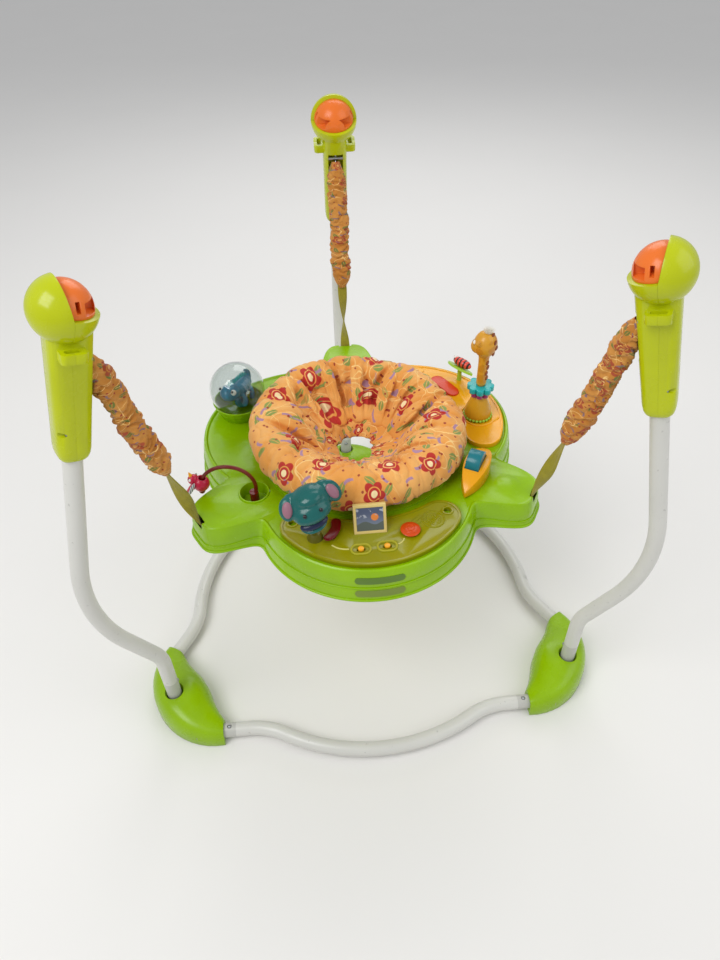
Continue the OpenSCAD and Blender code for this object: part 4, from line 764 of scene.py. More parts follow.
FINISH_OF_SLOT: dict[str, Finish] = {
    "lime_plastic": LIME,
    "green_plastic": GREEN,
    "white_tube": WHITE_TUBE,
    "stub_tube": STUB_TUBE,
    "foot_rubber": Rubber("foot_rubber", (62, 64, 62)),
    "steel": STEEL,
    "orange_plastic": Moulded("insert_orange", (234, 116, 40), 0.28, 0.12),
    "print_fabric": PRINT,
    "strap_web": Webbing("strap_olive", (160, 148, 18)),
    "olive_panel": Moulded("panel_olive", (142, 140, 2), 0.2, 0.3, 0.06),
    "grey_plastic": Moulded("box_grey", (92, 96, 92), 0.45, 0.05, 0.3),
    "picture_print": Moulded("card_cream", (222, 196, 120), 0.3, 0.3),
    "round_orange": Moulded("button_orange", (208, 72, 8), 0.26, 0.2),
    "dark_red": Moulded("bean_maroon", (112, 4, 10), 0.24, 0.2),
    "amber": Moulded("knob_amber", (244, 170, 30), 0.25, 0.3),
    "side_yellow": Moulded("panel_yellow", (236, 168, 16), 0.22, 0.25, 0.06),
    "capsule_red": Moulded("capsule_orange", (212, 58, 8), 0.26, 0.08),
    "navy": Moulded("stem_navy", (24, 34, 66), 0.3, 0.2),
    "elephant_teal": Moulded("elephant_teal", (14, 92, 88), 0.26, 0.3),
    "clear": ClearShell("bubble_clear"),
    "lizard_blue": Moulded("lizard_blue", (24, 116, 146), 0.28, 0.3),
    "maroon": Moulded("wire_maroon", (112, 22, 12), 0.28, 0.25),
    "crimson": Moulded("bird_crimson", (192, 22, 62), 0.26, 0.3),
    "ochre": Moulded("giraffe_ochre", (204, 152, 32), 0.28, 0.25),
    "ring_purple": Moulded("ring_purple", (152, 52, 112), 0.26, 0.3),
    "ring_teal": Moulded("ring_teal", (30, 168, 168), 0.26, 0.3),
    "leaf_green": Moulded("leaf_green", (160, 206, 60), 0.3, 0.25),
    "bug_red": Moulded("bug_coral", (222, 74, 54), 0.28, 0.3),
    "pod_yellow": Moulded("pod_yellow", (232, 160, 8), 0.26, 0.2),
    "roller_blue": Moulded("roller_blue", (12, 112, 122), 0.26, 0.3),
}
SLOT_OF_NODE: dict[str, str] = {s["node"]: s["material_slot"] for s in frame["record"]["subparts"]}
BODY_OF_NODE: dict[str, str] = {
    node: body for body, nodes in frame["record"]["behaviour"]["bodies"].items() for node in nodes
}


# Meshes

def add(name: str, data: bpy.types.ID) -> Piece:
    """Put a new object with that data into the scene, at the origin."""
    piece = bpy.data.objects.new(name, data)
    bpy.context.scene.collection.objects.link(piece)
    return piece


def shape(name: str, verts: Sequence[Sequence[float]], faces: Sequence[Sequence[int]],
          flat: Sequence[tuple[float, float]] | None = None, place: Matrix | None = None) -> Piece:
    """Make a mesh piece from points in millimetres.

    Args:
        name: Name of the piece.
        verts: Points in the place's frame.
        faces: Corners of each face.
        flat: One flat coordinate in metres for each corner of each face.
        place: Frame of the points.

    Returns:
        The new piece, at the origin.
    """
    at = place or Matrix()
    mesh = bpy.data.meshes.new(name)
    mesh.from_pydata([(at @ Vector(v)) * MM for v in verts], [], faces)
    if flat is not None:
        layer = mesh.uv_layers.new(name="Flat")
        layer.data.foreach_set("uv", [c for pair in flat for c in pair])
    mesh.update()
    return add(name, mesh)


def outward(piece: Piece) -> Piece:
    """Merge doubles and point the faces of a closed piece outwards."""
    bm = bmesh.new()
    bm.from_mesh(piece.data)
    bmesh.ops.remove_doubles(bm, verts=bm.verts, dist=1e-6)
    bmesh.ops.recalc_face_normals(bm, faces=bm.faces)
    bm.to_mesh(piece.data)
    bm.free()
    return piece


def loft(name: str, rings: Sequence[Sequence[Vector]], wrap: bool = True, close: bool = False,
         caps: bool = True, flat: Callable[[int, int], tuple[float, float]] | None = None,
         place: Matrix | None = None) -> Piece:
    """Skin a row of rings with quads.

    Args:
        name: Name of the piece.
        rings: Rings of equal length.
        wrap: Whether each ring closes on itself.
        close: Whether the last ring joins the first.
        caps: Whether the end rings are filled.
        flat: Flat coordinate of a ring's point, by ring and point.
        place: Frame of the points.

    Returns:
        The new piece.
    """
    count, rows = len(rings[0]), len(rings)
    verts = [p for ring in rings for p in ring]
    faces: list[list[int]] = []
    corners: list[tuple[float, float]] = []
    for i in range(rows if close else rows - 1):
        for j in range(count if wrap else count - 1):
            square = [(i, j), (i, j + 1), (i + 1, j + 1), (i + 1, j)]
            faces.append([(a % rows) * count + b % count for a, b in square])
            corners += [flat(a, b) if flat else (0.0, 0.0) for a, b in square]
    if caps and wrap and not close:
        faces.append(list(range(count))[::-1])
        faces.append([(rows - 1) * count + j for j in range(count)])
        corners += [flat(0, j) if flat else (0.0, 0.0) for j in range(count)][::-1]
        corners += [flat(rows - 1, j) if flat else (0.0, 0.0) for j in range(count)]
    return outward(shape(name, verts, faces, corners if flat else None, place))


def along_path(path: Sequence[Vector], closed: bool = False) -> list[tuple[Vector, Vector, Vector]]:
    """Carry a frame along a path with the least twist.

    Args:
        path: Points of the path.
        closed: Whether the path ends where it starts.

    Returns:
        Tangent and two normals at each point.
    """
    count = len(path)
    frames: list[tuple[Vector, Vector, Vector]] = []
    last: Vector | None = None
    for i in range(count):
        ahead = path[(i + 1) % count] if closed else path[min(i + 1, count - 1)]
        behind = path[i - 1] if closed else path[max(i - 1, 0)]
        tangent = (ahead - behind).normalized()
        if last is None:
            helper = Vector((0, 0, 1)) if abs(tangent.z) < 0.9 else Vector((1, 0, 0))
            side = tangent.cross(helper).normalized()
        else:
            side = (last - tangent * last.dot(tangent)).normalized()
        frames.append((tangent, side, tangent.cross(side)))
        last = side
    return frames


def tube(name: str, path: Sequence[Vector], radius: float | Sequence[float], sides: int = 12,
         closed: bool = False, place: Matrix | None = None) -> Piece:
    """Run a round tube along a path, with one radius or one for each point."""
    rings = []
    for i, (_, side, up) in enumerate(along_path(path, closed)):
        r = radius if isinstance(radius, (int, float)) else radius[i]
        rings.append([path[i] + (side * math.cos(a) + up * math.sin(a)) * r for a in angles(sides)])
    return loft(name, rings, close=closed, place=place)


def spline(points: Sequence[Vector], steps: int, closed: bool = False) -> list[Vector]:
    """Smooth curve through points.

    Args:
        points: Points that the curve passes.
        steps: Points between two given points.
        closed: Whether the curve is a loop.

    Returns:
        Points of the curve.
    """
    count = len(points)
    result: list[Vector] = []
    for i in range(count if closed else count - 1):
        near = [(i + k) % count if closed else max(0, min(count - 1, i + k)) for k in (-1, 0, 1, 2)]
        a, b, c, d = (points[n] for n in near)
        for s in range(steps):
            t = s / steps
            result.append(0.5 * (2 * b + (c - a) * t + (2 * a - 5 * b + 4 * c - d) * t * t
                                 + (3 * b - a - 3 * c + d) * t * t * t))
    if not closed:
        result.append(Vector(points[-1]))
    return result


def capsule_path(length: float, width: float, z: float, steps: int = 14) -> list[Vector]:
    """Closed outline of a capsule of that length along X."""
    r, half = width / 2, (length - width) / 2
    path = []
    for side, start in ((1, -90), (-1, 90)):
        for s in range(steps + 1):
            a = math.radians(start + 180 * s / steps)
            path.append(Vector((side * half + r * math.cos(a), r * math.sin(a), z)))
    return path


def bake(piece: Piece) -> Piece:
    """Turn a piece's modifiers into its plain mesh."""
    graph = bpy.context.evaluated_depsgraph_get()
    mesh = bpy.data.meshes.new_from_object(piece.evaluated_get(graph))
    piece.modifiers.clear()
    piece.data = mesh
    return piece


def thicken(piece: Piece, thick: float, offset: float = -1.0) -> Piece:
    """Give a sheet a thickness, to one side of its face or to both."""
    wall = piece.modifiers.new("Wall", "SOLIDIFY")
    wall.thickness, wall.offset = thick * MM, offset
    return bake(piece)


def cloth_area(piece: Piece) -> float:
    """Area of a piece's faces, in square metres."""
    return sum(p.area for p in piece.data.polygons)


def dress(piece: Piece, finish: Finish, body: str = "", node: str = "", angle: float = 40.0) -> Piece:
    """Give a finished mesh its material and shading, and tie it to the frame.

    Args:
        piece: The piece, with its final mesh.
        finish: Its finish.
        body: Body that it moves with, when it replaces no node.
        node: CAD node that it stands for.
        angle: Edges sharper than this stay hard, in degrees.

    Returns:
        The piece.
    """
    rider = body or BODY_OF_NODE[node]
    piece.data.materials.clear()
    piece.data.materials.append(finish.material())
    piece.data.shade_smooth()
    piece.data.set_sharp_from_angle(angle=math.radians(angle))
    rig.ride(piece, rider)
    if node:
        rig.replaces(piece, node)
        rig.slot(piece, SLOT_OF_NODE[node])
    LOG.info("piece %s on %s", piece.name, rider)
    return piece


@dataclass
class Clay:
    """Balls and limbs that are pressed into one moulded form."""

    name: str
    voxel: float = 1.0
    passes: int = 6
    bm: bmesh.types.BMesh = field(default_factory=bmesh.new)

    def ball(self, at: Sequence[float], radii: Sequence[float], turn: Sequence[float] = (0, 0, 0)) -> "Clay":
        """Add an egg at a place, with three radii and a turn in degrees."""
        spin = Euler([math.radians(a) for a in turn]).to_matrix().to_4x4()
        matrix = Matrix.Translation(at) @ spin @ Matrix.Diagonal((*radii, 1.0))
        bmesh.ops.create_uvsphere(self.bm, u_segments=24, v_segments=14, radius=1.0, matrix=matrix)
        return self

    def limb(self, points: Sequence[Sequence[float]], radii: Sequence[float]) -> "Clay":
        """Add a limb through points with a radius at each."""
        for p in spline([Vector((*p, r)) for p, r in zip(points, radii)], 6):
            matrix = Matrix.Translation(p.xyz) @ Matrix.Scale(p.w, 4)
            bmesh.ops.create_uvsphere(self.bm, u_segments=14, v_segments=8, radius=1.0, matrix=matrix)
        return self

    def fuse(self, place: Matrix) -> Piece:
        """Press all into one closed mesh at a place."""
        mesh = bpy.data.meshes.new(self.name)
        self.bm.to_mesh(mesh)
        self.bm.free()
        mesh.transform(Matrix.Scale(MM, 4) @ place)
        piece = add(self.name, mesh)
        remesh = piece.modifiers.new("Press", "REMESH")
        remesh.mode = "VOXEL"
        remesh.voxel_size = self.voxel * MM
        ease = piece.modifiers.new("Ease", "SMOOTH")
        ease.factor = 0.5
        ease.iterations = self.passes
        return bake(piece)


class Detail(Enum):
    """What a row of small repeated details is made of."""

    SPINE = "spine"
    BEAD = "bead"


@dataclass(frozen=True)
class DetailRow:
    """Small details set along paths by a Geometry Nodes tree."""

    name: str
    kind: Detail
    spacing: float
    length: float
    thick: float
    jitter: float = 0.0
    seed: int = 11

    def tree(self, material: bpy.types.Material) -> tuple[bpy.types.NodeTree, dict[str, str]]:
        """Build the tree.

        Args:
            material: Material of the details.

        Returns:
            The tree, and its inputs' identifiers by name.
        """
        tree = bpy.data.node_groups.new(self.name + "_row", "GeometryNodeTree")
        tree.interface.new_socket("Geometry", in_out="INPUT", socket_type="NodeSocketGeometry")
        names = {}
        kinds = dict.fromkeys(("Spacing", "Length", "Thickness", "Jitter"), "NodeSocketFloat")
        for label, kind in {**kinds, "Seed": "NodeSocketInt"}.items():
            names[label] = tree.interface.new_socket(label, in_out="INPUT", socket_type=kind).identifier
        tree.interface.new_socket("Geometry", in_out="OUTPUT", socket_type="NodeSocketGeometry")

        def put(kind: str, **inputs: object) -> bpy.types.Node:
            """Add a node and feed its inputs."""
            node = tree.nodes.new(kind)
            for key, value in inputs.items():
                socket = node.inputs[key.replace("_", " ")]
                if isinstance(value, bpy.types.NodeSocket):
                    tree.links.new(value, socket)
                else:
                    socket.default_value = value
            return node

        start = put("NodeGroupInput")
        curve = put("GeometryNodeMeshToCurve", Mesh=start.outputs["Geometry"])
        spaced = put("GeometryNodeResampleCurve", Curve=curve.outputs[0])
        spaced.mode = "LENGTH"
        tree.links.new(start.outputs["Spacing"], spaced.inputs["Length"])
        if self.kind is Detail.SPINE:
            aim = put("GeometryNodeInputNamedAttribute", Name="aim")
            aim.data_type = "FLOAT_VECTOR"
            heading = aim.outputs["Attribute"]
            unit = put("GeometryNodeMeshCone", Vertices=8, Radius_Top=0.12, Radius_Bottom=1.0, Depth=1.0)
        else:
            heading = put("GeometryNodeInputTangent").outputs[0]
            unit = put("GeometryNodeMeshIcoSphere", Radius=1.0, Subdivisions=2)
        turn = put("FunctionNodeAlignRotationToVector", Vector=heading)
        turn.axis = "Z"
        chance = put("FunctionNodeRandomValue", Seed=start.outputs["Seed"])
        low = put("ShaderNodeMath")
        low.operation = "SUBTRACT"
        low.inputs[0].default_value = 1.0
        tree.links.new(start.outputs["Jitter"], low.inputs[1])
        tree.links.new(low.outputs[0], chance.inputs[2])
        chance.inputs[3].default_value = 1.0
        size = put("ShaderNodeCombineXYZ", X=start.outputs["Thickness"], Y=start.outputs["Thickness"],
                   Z=start.outputs["Length"])
        scale = put("ShaderNodeVectorMath")
        scale.operation = "SCALE"
        tree.links.new(size.outputs[0], scale.inputs[0])
        tree.links.new(chance.outputs[1], scale.inputs["Scale"])
        placed = put("GeometryNodeInstanceOnPoints", Points=spaced.outputs[0], Instance=unit.outputs[0],
                     Rotation=turn.outputs[0], Scale=scale.outputs[0])
        real = put("GeometryNodeRealizeInstances", Geometry=placed.outputs[0])
        coloured = put("GeometryNodeSetMaterial", Geometry=real.outputs[0], Material=material)
        end = put("NodeGroupOutput")
        tree.links.new(coloured.outputs[0], end.inputs[0])
        return tree, names

    def lay(self, paths: Sequence[Sequence[Vector]], finish: Finish, body: str, place: Matrix | None = None,
            aims: Sequence[Sequence[Vector]] | None = None, closed: bool = False) -> Piece:
        """Set the details along paths and tie them to a body.

        Args:
            paths: Paths in millimetres in the place's frame.
            finish: Finish of the details.
            body: Body that they move with.
            place: Frame of the paths.
            aims: Direction of each point, for spines.
            closed: Whether each path is a loop.

        Returns:
            The details as one plain mesh.
        """
        at = place or Matrix()
        verts, edges, heads = [], [], []
        for k, path in enumerate(paths):
            base = len(verts)
            verts += [(at @ Vector(p)) * MM for p in path]
            edges += [(base + i, base + i + 1) for i in range(len(path) - 1)]
            if closed:
                edges.append((base + len(path) - 1, base))
            heads += [at.to_3x3() @ Vector(a) for a in aims[k]] if aims else []
        mesh = bpy.data.meshes.new(self.name)
        mesh.from_pydata(verts, edges, [])
        if heads:
            aim = mesh.attributes.new("aim", "FLOAT_VECTOR", "POINT")
            aim.data.foreach_set("vector", [c for h in heads for c in h])
        piece = add(self.name, mesh)
        modifier = piece.modifiers.new("Row", "NODES")
        modifier.node_group, names = self.tree(finish.material())
        sizes = {"Spacing": self.spacing * MM, "Length": self.length * MM, "Thickness": self.thick * MM}
        for label, value in {**sizes, "Jitter": self.jitter, "Seed": self.seed}.items():
            modifier[names[label]] = value
        return dress(bake(piece), finish, body, angle=60)


# Scene

@dataclass
class Studio:
    """Camera at the photograph's place, a pale floor and soft lamps."""

    eye: tuple[float, float, float] = (-0.07329, -0.99520, 1.21348)
    ahead: tuple[float, float, float] = (0.05720, 0.72438, -0.68702)
    roll: float = 0.02416
    lens: float = 27.35
    sensor: float = 36.0
    floor_half: float = 9.0
    lamps: tuple[tuple[str, tuple[float, float, float], float, float], ...] = (
        ("key", (-1.5, -1.3, 2.6), 1.6, 44),
        ("fill", (1.9, -0.9, 2.0), 2.0, 16),
        ("back", (0.4, 2.0, 2.3), 1.8, 22),
    )
    lit_point: tuple[float, float, float] = (0, -0.05, 0.4)
    sky: Colour = (0.94, 0.96, 1.0, 1.0)
    sky_strength: float = 0.56

    def build(self) -> None:
        """Make the camera, then the floor, lamps and world."""
        self.camera()
        half = self.floor_half / MM
        corners = [(-half, -half, 0), (half, -half, 0), (half, half, 0), (-half, half, 0)]
        floor = shape("floor", corners, [(0, 1, 2, 3)])
        floor.data.materials.append(PaleFloor("studio_floor").material())
        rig.stage(floor)
        for lamp in self.lamps:
            self.lamp(*lamp)
        self.world()

    def camera(self) -> None:
        """Put the camera where the photograph was taken."""
        ahead = Vector(self.ahead).normalized()
        right = ahead.cross(Vector((0, 0, 1))).normalized()
        up = right.cross(ahead)
        side = right * math.sqrt(1 - self.roll ** 2) - up * self.roll
        top = side.cross(ahead)
        data = bpy.data.cameras.new("camera")
        data.lens, data.sensor_width = self.lens, self.sensor
        camera = add("camera", data)
        camera.matrix_world = Matrix.Translation(self.eye) @ Matrix((side, top, -ahead)).transposed().to_4x4()
        bpy.context.scene.camera = camera

    def lamp(self, name: str, at: tuple[float, float, float], size: float, power: float) -> None:
        """Add a square soft lamp that looks at the tray."""
        data = bpy.data.lights.new(name, "AREA")
        data.size, data.energy = size, power
        lamp = add(name, data)
        aim = Vector(self.lit_point) - Vector(at)
        lamp.matrix_world = Matrix.Translation(at) @ aim.to_track_quat("-Z", "Y").to_matrix().to_4x4()

    def world(self) -> None:
        """Pale surroundings that light the object evenly."""
        world = bpy.data.worlds.new("studio")
        world.use_nodes = True
        sky = world.node_tree.nodes["Background"]
        sky.inputs[0].default_value = self.sky
        sky.inputs[1].default_value = self.sky_strength
        bpy.context.scene.world = world
        bpy.context.scene.view_settings.view_transform = "Standard"


@dataclass
class HardParts:
    """Moulded, tubular and steel pieces, as smooth copies of their solids."""

    plain: tuple[str, ...] = (
        "foot_pads", "stub_tubes", "base_tube_front", "base_tube_left", "base_tube_right", "leg_tube_left",
        "leg_tube_right", "leg_tube_back", "head_screws", "hanger_pins", "strap_anchors", "tray_screws",
        "sound_box", "elephant_stem", "bubble", "arch_wire", "seat_ring", "seat_retainer", "bug_leaf",
    )
    eased: tuple[str, ...] = (
        "foot_left", "foot_right", "foot_back", "head_outer_left", "head_outer_right", "head_outer_back",
        "head_inner_left", "head_inner_right", "head_inner_back", "head_inserts", "leg_button_left",
        "leg_button_right", "leg_button_back", "base_button_left", "base_button_right",
        "tray_top", "tray_bottom", "front_panel", "side_panel", "picture_card", "round_button",
        "bean_button", "capsule_button", "switch_left", "switch_right", "bubble_cup", "toy_cup",
        "flower_ring_low", "flower_ring_high", "roller_pod", "roller",
    )
    ease: float = 0.7
    ease_angle: float = 34.0
    flat_angle: float = 0.6
    rim_depth: float = 17.0
    rim_span: float = 1.5
    rim_cuts: int = 4
    crest_z: float = 422.5
    crest_inset: float = 8.5
    crest_slack: float = 0.7
    crest_round: float = 3.6

    def build(self) -> None:
        """Copy each solid, ease its edges where it is moulded, and dress it."""
        for node in self.plain:
            dress(self.copy(node), self.finish(node), node=node, angle=32)
        for node in self.eased:
            piece = self.copy(node)
            round_off = piece.modifiers.new("Ease", "BEVEL")
            round_off.width = self.ease * MM
            round_off.segments = 2
            round_off.limit_method = "ANGLE"
            round_off.angle_limit = math.radians(self.ease_angle)
            round_off.use_clamp_overlap = True
            dress(bake(piece), self.finish(node), node=node, angle=45 if node.startswith("tray_") else 30)

    def finish(self, node: str) -> Finish:
        """Finish of a node, from its material slot."""
        if node == "elephant_stem":
            return STEM_OLIVE
        if node.startswith("foot_") and node != "foot_pads":
            return FOOT_GREEN
        return FINISH_OF_SLOT[SLOT_OF_NODE[node]]

    def copy(self, node: str) -> Piece:
        """Copy a node's mesh, merge its corners and join its flat triangles."""
        mesh = frame["nodes"][node].data.copy()
        bm = bmesh.new()
        bm.from_mesh(mesh)
        bmesh.ops.remove_doubles(bm, verts=bm.verts, dist=1e-5)
        flat = math.radians(self.flat_angle)
        bmesh.ops.dissolve_limit(bm, angle_limit=flat, verts=bm.verts, edges=bm.edges)
        if node in ("tray_top", "tray_bottom"):
            self.round_outline(bm)
        bm.to_mesh(mesh)
        bm.free()
        return add(node + "_dressed", mesh)

    def round_outline(self, bm: bmesh.types.BMesh) -> None:
        """Set more points on the curve of the tray's edge, and round the crest of its rim."""
        def polar(v: bmesh.types.BMVert) -> tuple[float, float]:
            """Angle and radius of a point about the axis."""
            x, y = v.co.x / MM, v.co.y / MM - AXIS_Y
            return math.degrees(math.atan2(y, x)), math.hypot(x, y)

        rim = []
        for edge in bm.edges:
            ends = [polar(v) for v in edge.verts]
            span = abs((ends[0][0] - ends[1][0] + 180) % 360 - 180)
            if span > self.rim_span and all(tray_edge(deg) - r < self.rim_depth for deg, r in ends):
                rim.append(edge)
        cut = bmesh.ops.subdivide_edges(bm, edges=rim, cuts=self.rim_cuts)
        for v in (g for g in cut["geom_inner"] if isinstance(g, bmesh.types.BMVert)):
            deg, _ = polar(v)
            low = math.floor(deg / EDGE_STEP) * EDGE_STEP
            a, b = (Vector((math.cos(math.radians(d)), math.sin(math.radians(d)))) * tray_edge(d)
                    for d in (low, low + EDGE_STEP))
            way = Vector((math.cos(math.radians(deg)), math.sin(math.radians(deg))))
            chord = a.cross(b - a) / way.cross(b - a)
            grow = way * (tray_edge(deg) - chord) * MM
            v.co += Vector((grow.x, grow.y, 0))

        def on_crest(v: bmesh.types.BMVert) -> bool:
            """Whether a point lies on the crest of the rim."""
            deg, r = polar(v)
            off = abs(tray_edge(deg) - r - self.crest_inset)
            return v.co.z > self.crest_z * MM and off < self.crest_slack

        crest = [edge for edge in bm.edges if all(on_crest(v) for v in edge.verts)]
        bmesh.ops.bevel(bm, geom=crest, offset=self.crest_round * MM, segments=4, profile=0.5,
                        affect="EDGES", clamp_overlap=True)


@dataclass
class Suspension:
    """Spring, ruffled sleeve and webbing strap between each post and the tray."""

    spring_r: float = 8.3
    wire: float = 1.2
    turns: int = 34
    spring_length: float = 212.0
    sleeve_top: float = 5.0
    sleeve_end: float = 222.0
    sleeve_r: float = 15.2
    neck_r: float = 6.6
    sleeve_rows: int = 150
    sleeve_sides: int = 44
    sleeve_cloth: float = 0.7
    gather: float = 1.75
    ruffles: float = 15.0
    crease_deep: float = 4.4
    crease_vary: float = 4.0
    lump: float = 3.0
    pucker: float = 3.2
    strap_top: float = 216.0
    strap_end: float = 360.0
    strap_half: float = 9.6
    strap_half_t: float = 0.9

    def build(self) -> None:
        """Make the three lines."""
        for k, (side, turn) in enumerate(POST_TURNS.items()):
            self.spring(side, turn)
            self.sleeve(side, turn, k)
            self.strap(side, turn)

    def ends(self, turn: float) -> dict[str, tuple[float, float, float]]:
        """Places where a line stops following the post and where it follows the tray."""
        at = line_frame(turn)
        return {"start": tuple(at @ Vector((0, 0, -self.sleeve_top)) * MM),
                "end": tuple(at @ Vector((0, 0, -self.sleeve_end)) * MM)}

    def spring(self, side: str, turn: float) -> Piece:
        """Close-wound coil with a hook at each end."""
        steps = self.turns * 14
        path = [Vector(p) for p in ((0, -3, 4), (0, 3, 4.5), (0, 4.5, 0), (0, 2, -6), (4, 0, -12))]
        for i in range(steps + 1):
            share = i / steps
            a = math.tau * self.turns * share
            r = self.spring_r * min(1.0, 0.5 + 8 * min(share, 1 - share))
            path.append(Vector((r * math.cos(a), r * math.sin(a), -16 - (self.spring_length - 30) * share)))
        low = -self.spring_length
        path += [Vector(p) for p in ((2, 0, low + 8), (0, 3, low), (0, 0, low - 4), (0, -3, low))]
        piece = tube(f"spring_{side}", path, self.wire, 8, place=line_frame(turn))
        dress(piece, STEEL, "frame", "springs" if side == "back" else "")
        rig.slot(piece, "steel")
        piece.parent = None
        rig.blend(piece, "frame", "tray", **self.ends(turn))
        return piece

    def sleeve(self, side: str, turn: float, k: int) -> Piece:
        """Cotton tube, drawn up into irregular ruffles over the spring."""
        rows, count = self.sleeve_rows, self.sleeve_sides
        length = self.sleeve_end - self.sleeve_top
        rings = []
        for i in range(rows + 1):
            share = i / rows
            ends = math.sin(math.pi / 2 * min(1.0, 6.5 * min(share, 1 - share)))
            bow = 2.5 * math.sin(math.pi * share)
            full = self.sleeve_r + 1.2 * smooth_step(0.2, 0.9, share) - self.neck_r
            ring = []
            for a in angles(count):
                r = self.neck_r + full * ends + ends * self.ruffle(a, share, k)
                drop = 1.6 * ends * noise.noise(Vector((a, share * 14, 2.0 + k)))
                z = -self.sleeve_top - length * share + drop
                ring.append(Vector((r * math.cos(a), r * math.sin(a) + bow, z)))
            rings.append(ring)
        around = math.tau * self.sleeve_r * MM

        def flat(i: int, j: int) -> tuple[float, float]:
            """Flat coordinate of a point of the sleeve."""
            return (around * j / count + 0.31 * k, length * MM * self.gather * i / rows)

        piece = loft(f"sleeve_{side}", rings, caps=False, flat=flat, place=line_frame(turn))
        area = cloth_area(piece)
        thicken(piece, self.sleeve_cloth)
        # The sleeves take the darkened copy of the print, which paints their shade into its colours.
        dress(piece, SHADED_SLEEVE_PRINT, "frame", "spring_covers" if side == "back" else "", angle=180)
        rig.slot(piece, "print_fabric")
        piece.parent = None
        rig.blend(piece, "frame", "tray", **self.ends(turn))
        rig.sheet(piece, flat=(around, area / around), held="gathered", rests_on=["springs"])
        LOG.info("sleeve %s cloth %.4f m2", side, area)
        return piece

    def ruffle(self, a: float, share: float, k: int) -> float:
        """How far a sleeve's cloth stands out of its tube.

        Args:
            a: Angle round the sleeve, in radians.
            share: Place along the sleeve, from 0 at the top to 1.
            k: Number of the sleeve, which gives each its own creases.

        Returns:
            The distance, negative inwards.
        """
        wander = ripple(a, 0.8, share * 7 + 9.0 * k)
        phase = self.ruffles * share + 1.5 * wander + 0.4 * math.sin(a + 3 * k) + 0.2 * math.sin(3 * a + k)
        crease = abs(math.sin(math.pi * phase)) ** 0.75 - 0.62
        lump = ripple(a, 1.4, share * 9 + 4.0 * k)
        deep = self.crease_deep + self.crease_vary * ripple(a, 1.1, share * 16 + 7.0 * k)
        pucker = abs(ripple(a, 3.2, share * 34 + 5.0 * k))
        return deep * crease + self.lump * lump - self.pucker * pucker + 0.8

    def strap(self, side: str, turn: float) -> Piece:
        """Webbing that twists half a turn between the spring and the tray."""
        rows = 60
        outline = self.strap_outline(6)
        run = self.strap_end - self.strap_top
        rings = []
        for i in range(rows + 1):
            share = i / rows
            angle = math.radians(180 * (0.5 * share + 0.5 * smooth_step(0.0, 0.95, share)))
            draw = 0.86 + 0.14 * math.sin(math.pi * share)
            ring = []
            for x, y in outline:
                u, v = x * draw, y + 0.9 * math.sin(x / 5.0 + 5 * share) * math.sin(math.pi * share)
                spun = (u * math.cos(angle) - v * math.sin(angle), u * math.sin(angle) + v * math.cos(angle))
                ring.append(Vector((*spun, -self.strap_top - run * share)))
            rings.append(ring)

        def flat(i: int, j: int) -> tuple[float, float]:
            """Flat coordinate of a point of the strap."""
            return (outline[j % len(outline)][0] * MM, run * MM * i / rows)

        piece = loft(f"strap_{side}", rings, flat=flat, place=line_frame(turn))
        dress(piece, FINISH_OF_SLOT["strap_web"], "tray", "straps" if side == "back" else "", angle=60)
        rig.slot(piece, "strap_web")
        return piece

    def strap_outline(self, across: int) -> list[tuple[float, float]]:
        """Rounded cross-section of the webbing."""
        w, t = self.strap_half, self.strap_half_t
        top = [(w - 0.8 - (2 * w - 1.6) * i / across, t) for i in range(across + 1)]
        half = top + [(-w, 0.35 * t), (-w, -0.35 * t)]
        return half + [(-x, -y) for x, y in half]


@dataclass(frozen=True)
class Fold:
    """A crease that runs from the seat's opening over the pad."""

    deg: float
    depth: float
    width: float
    reach: float
    drift: float = 0.0

    def off(self, deg: float, inner: float) -> float:
        """Angle from the crease, whose line drifts between the pad's outside and its inside."""
        return (deg - self.deg - self.drift * (inner - 0.6) + 180) % 360 - 180


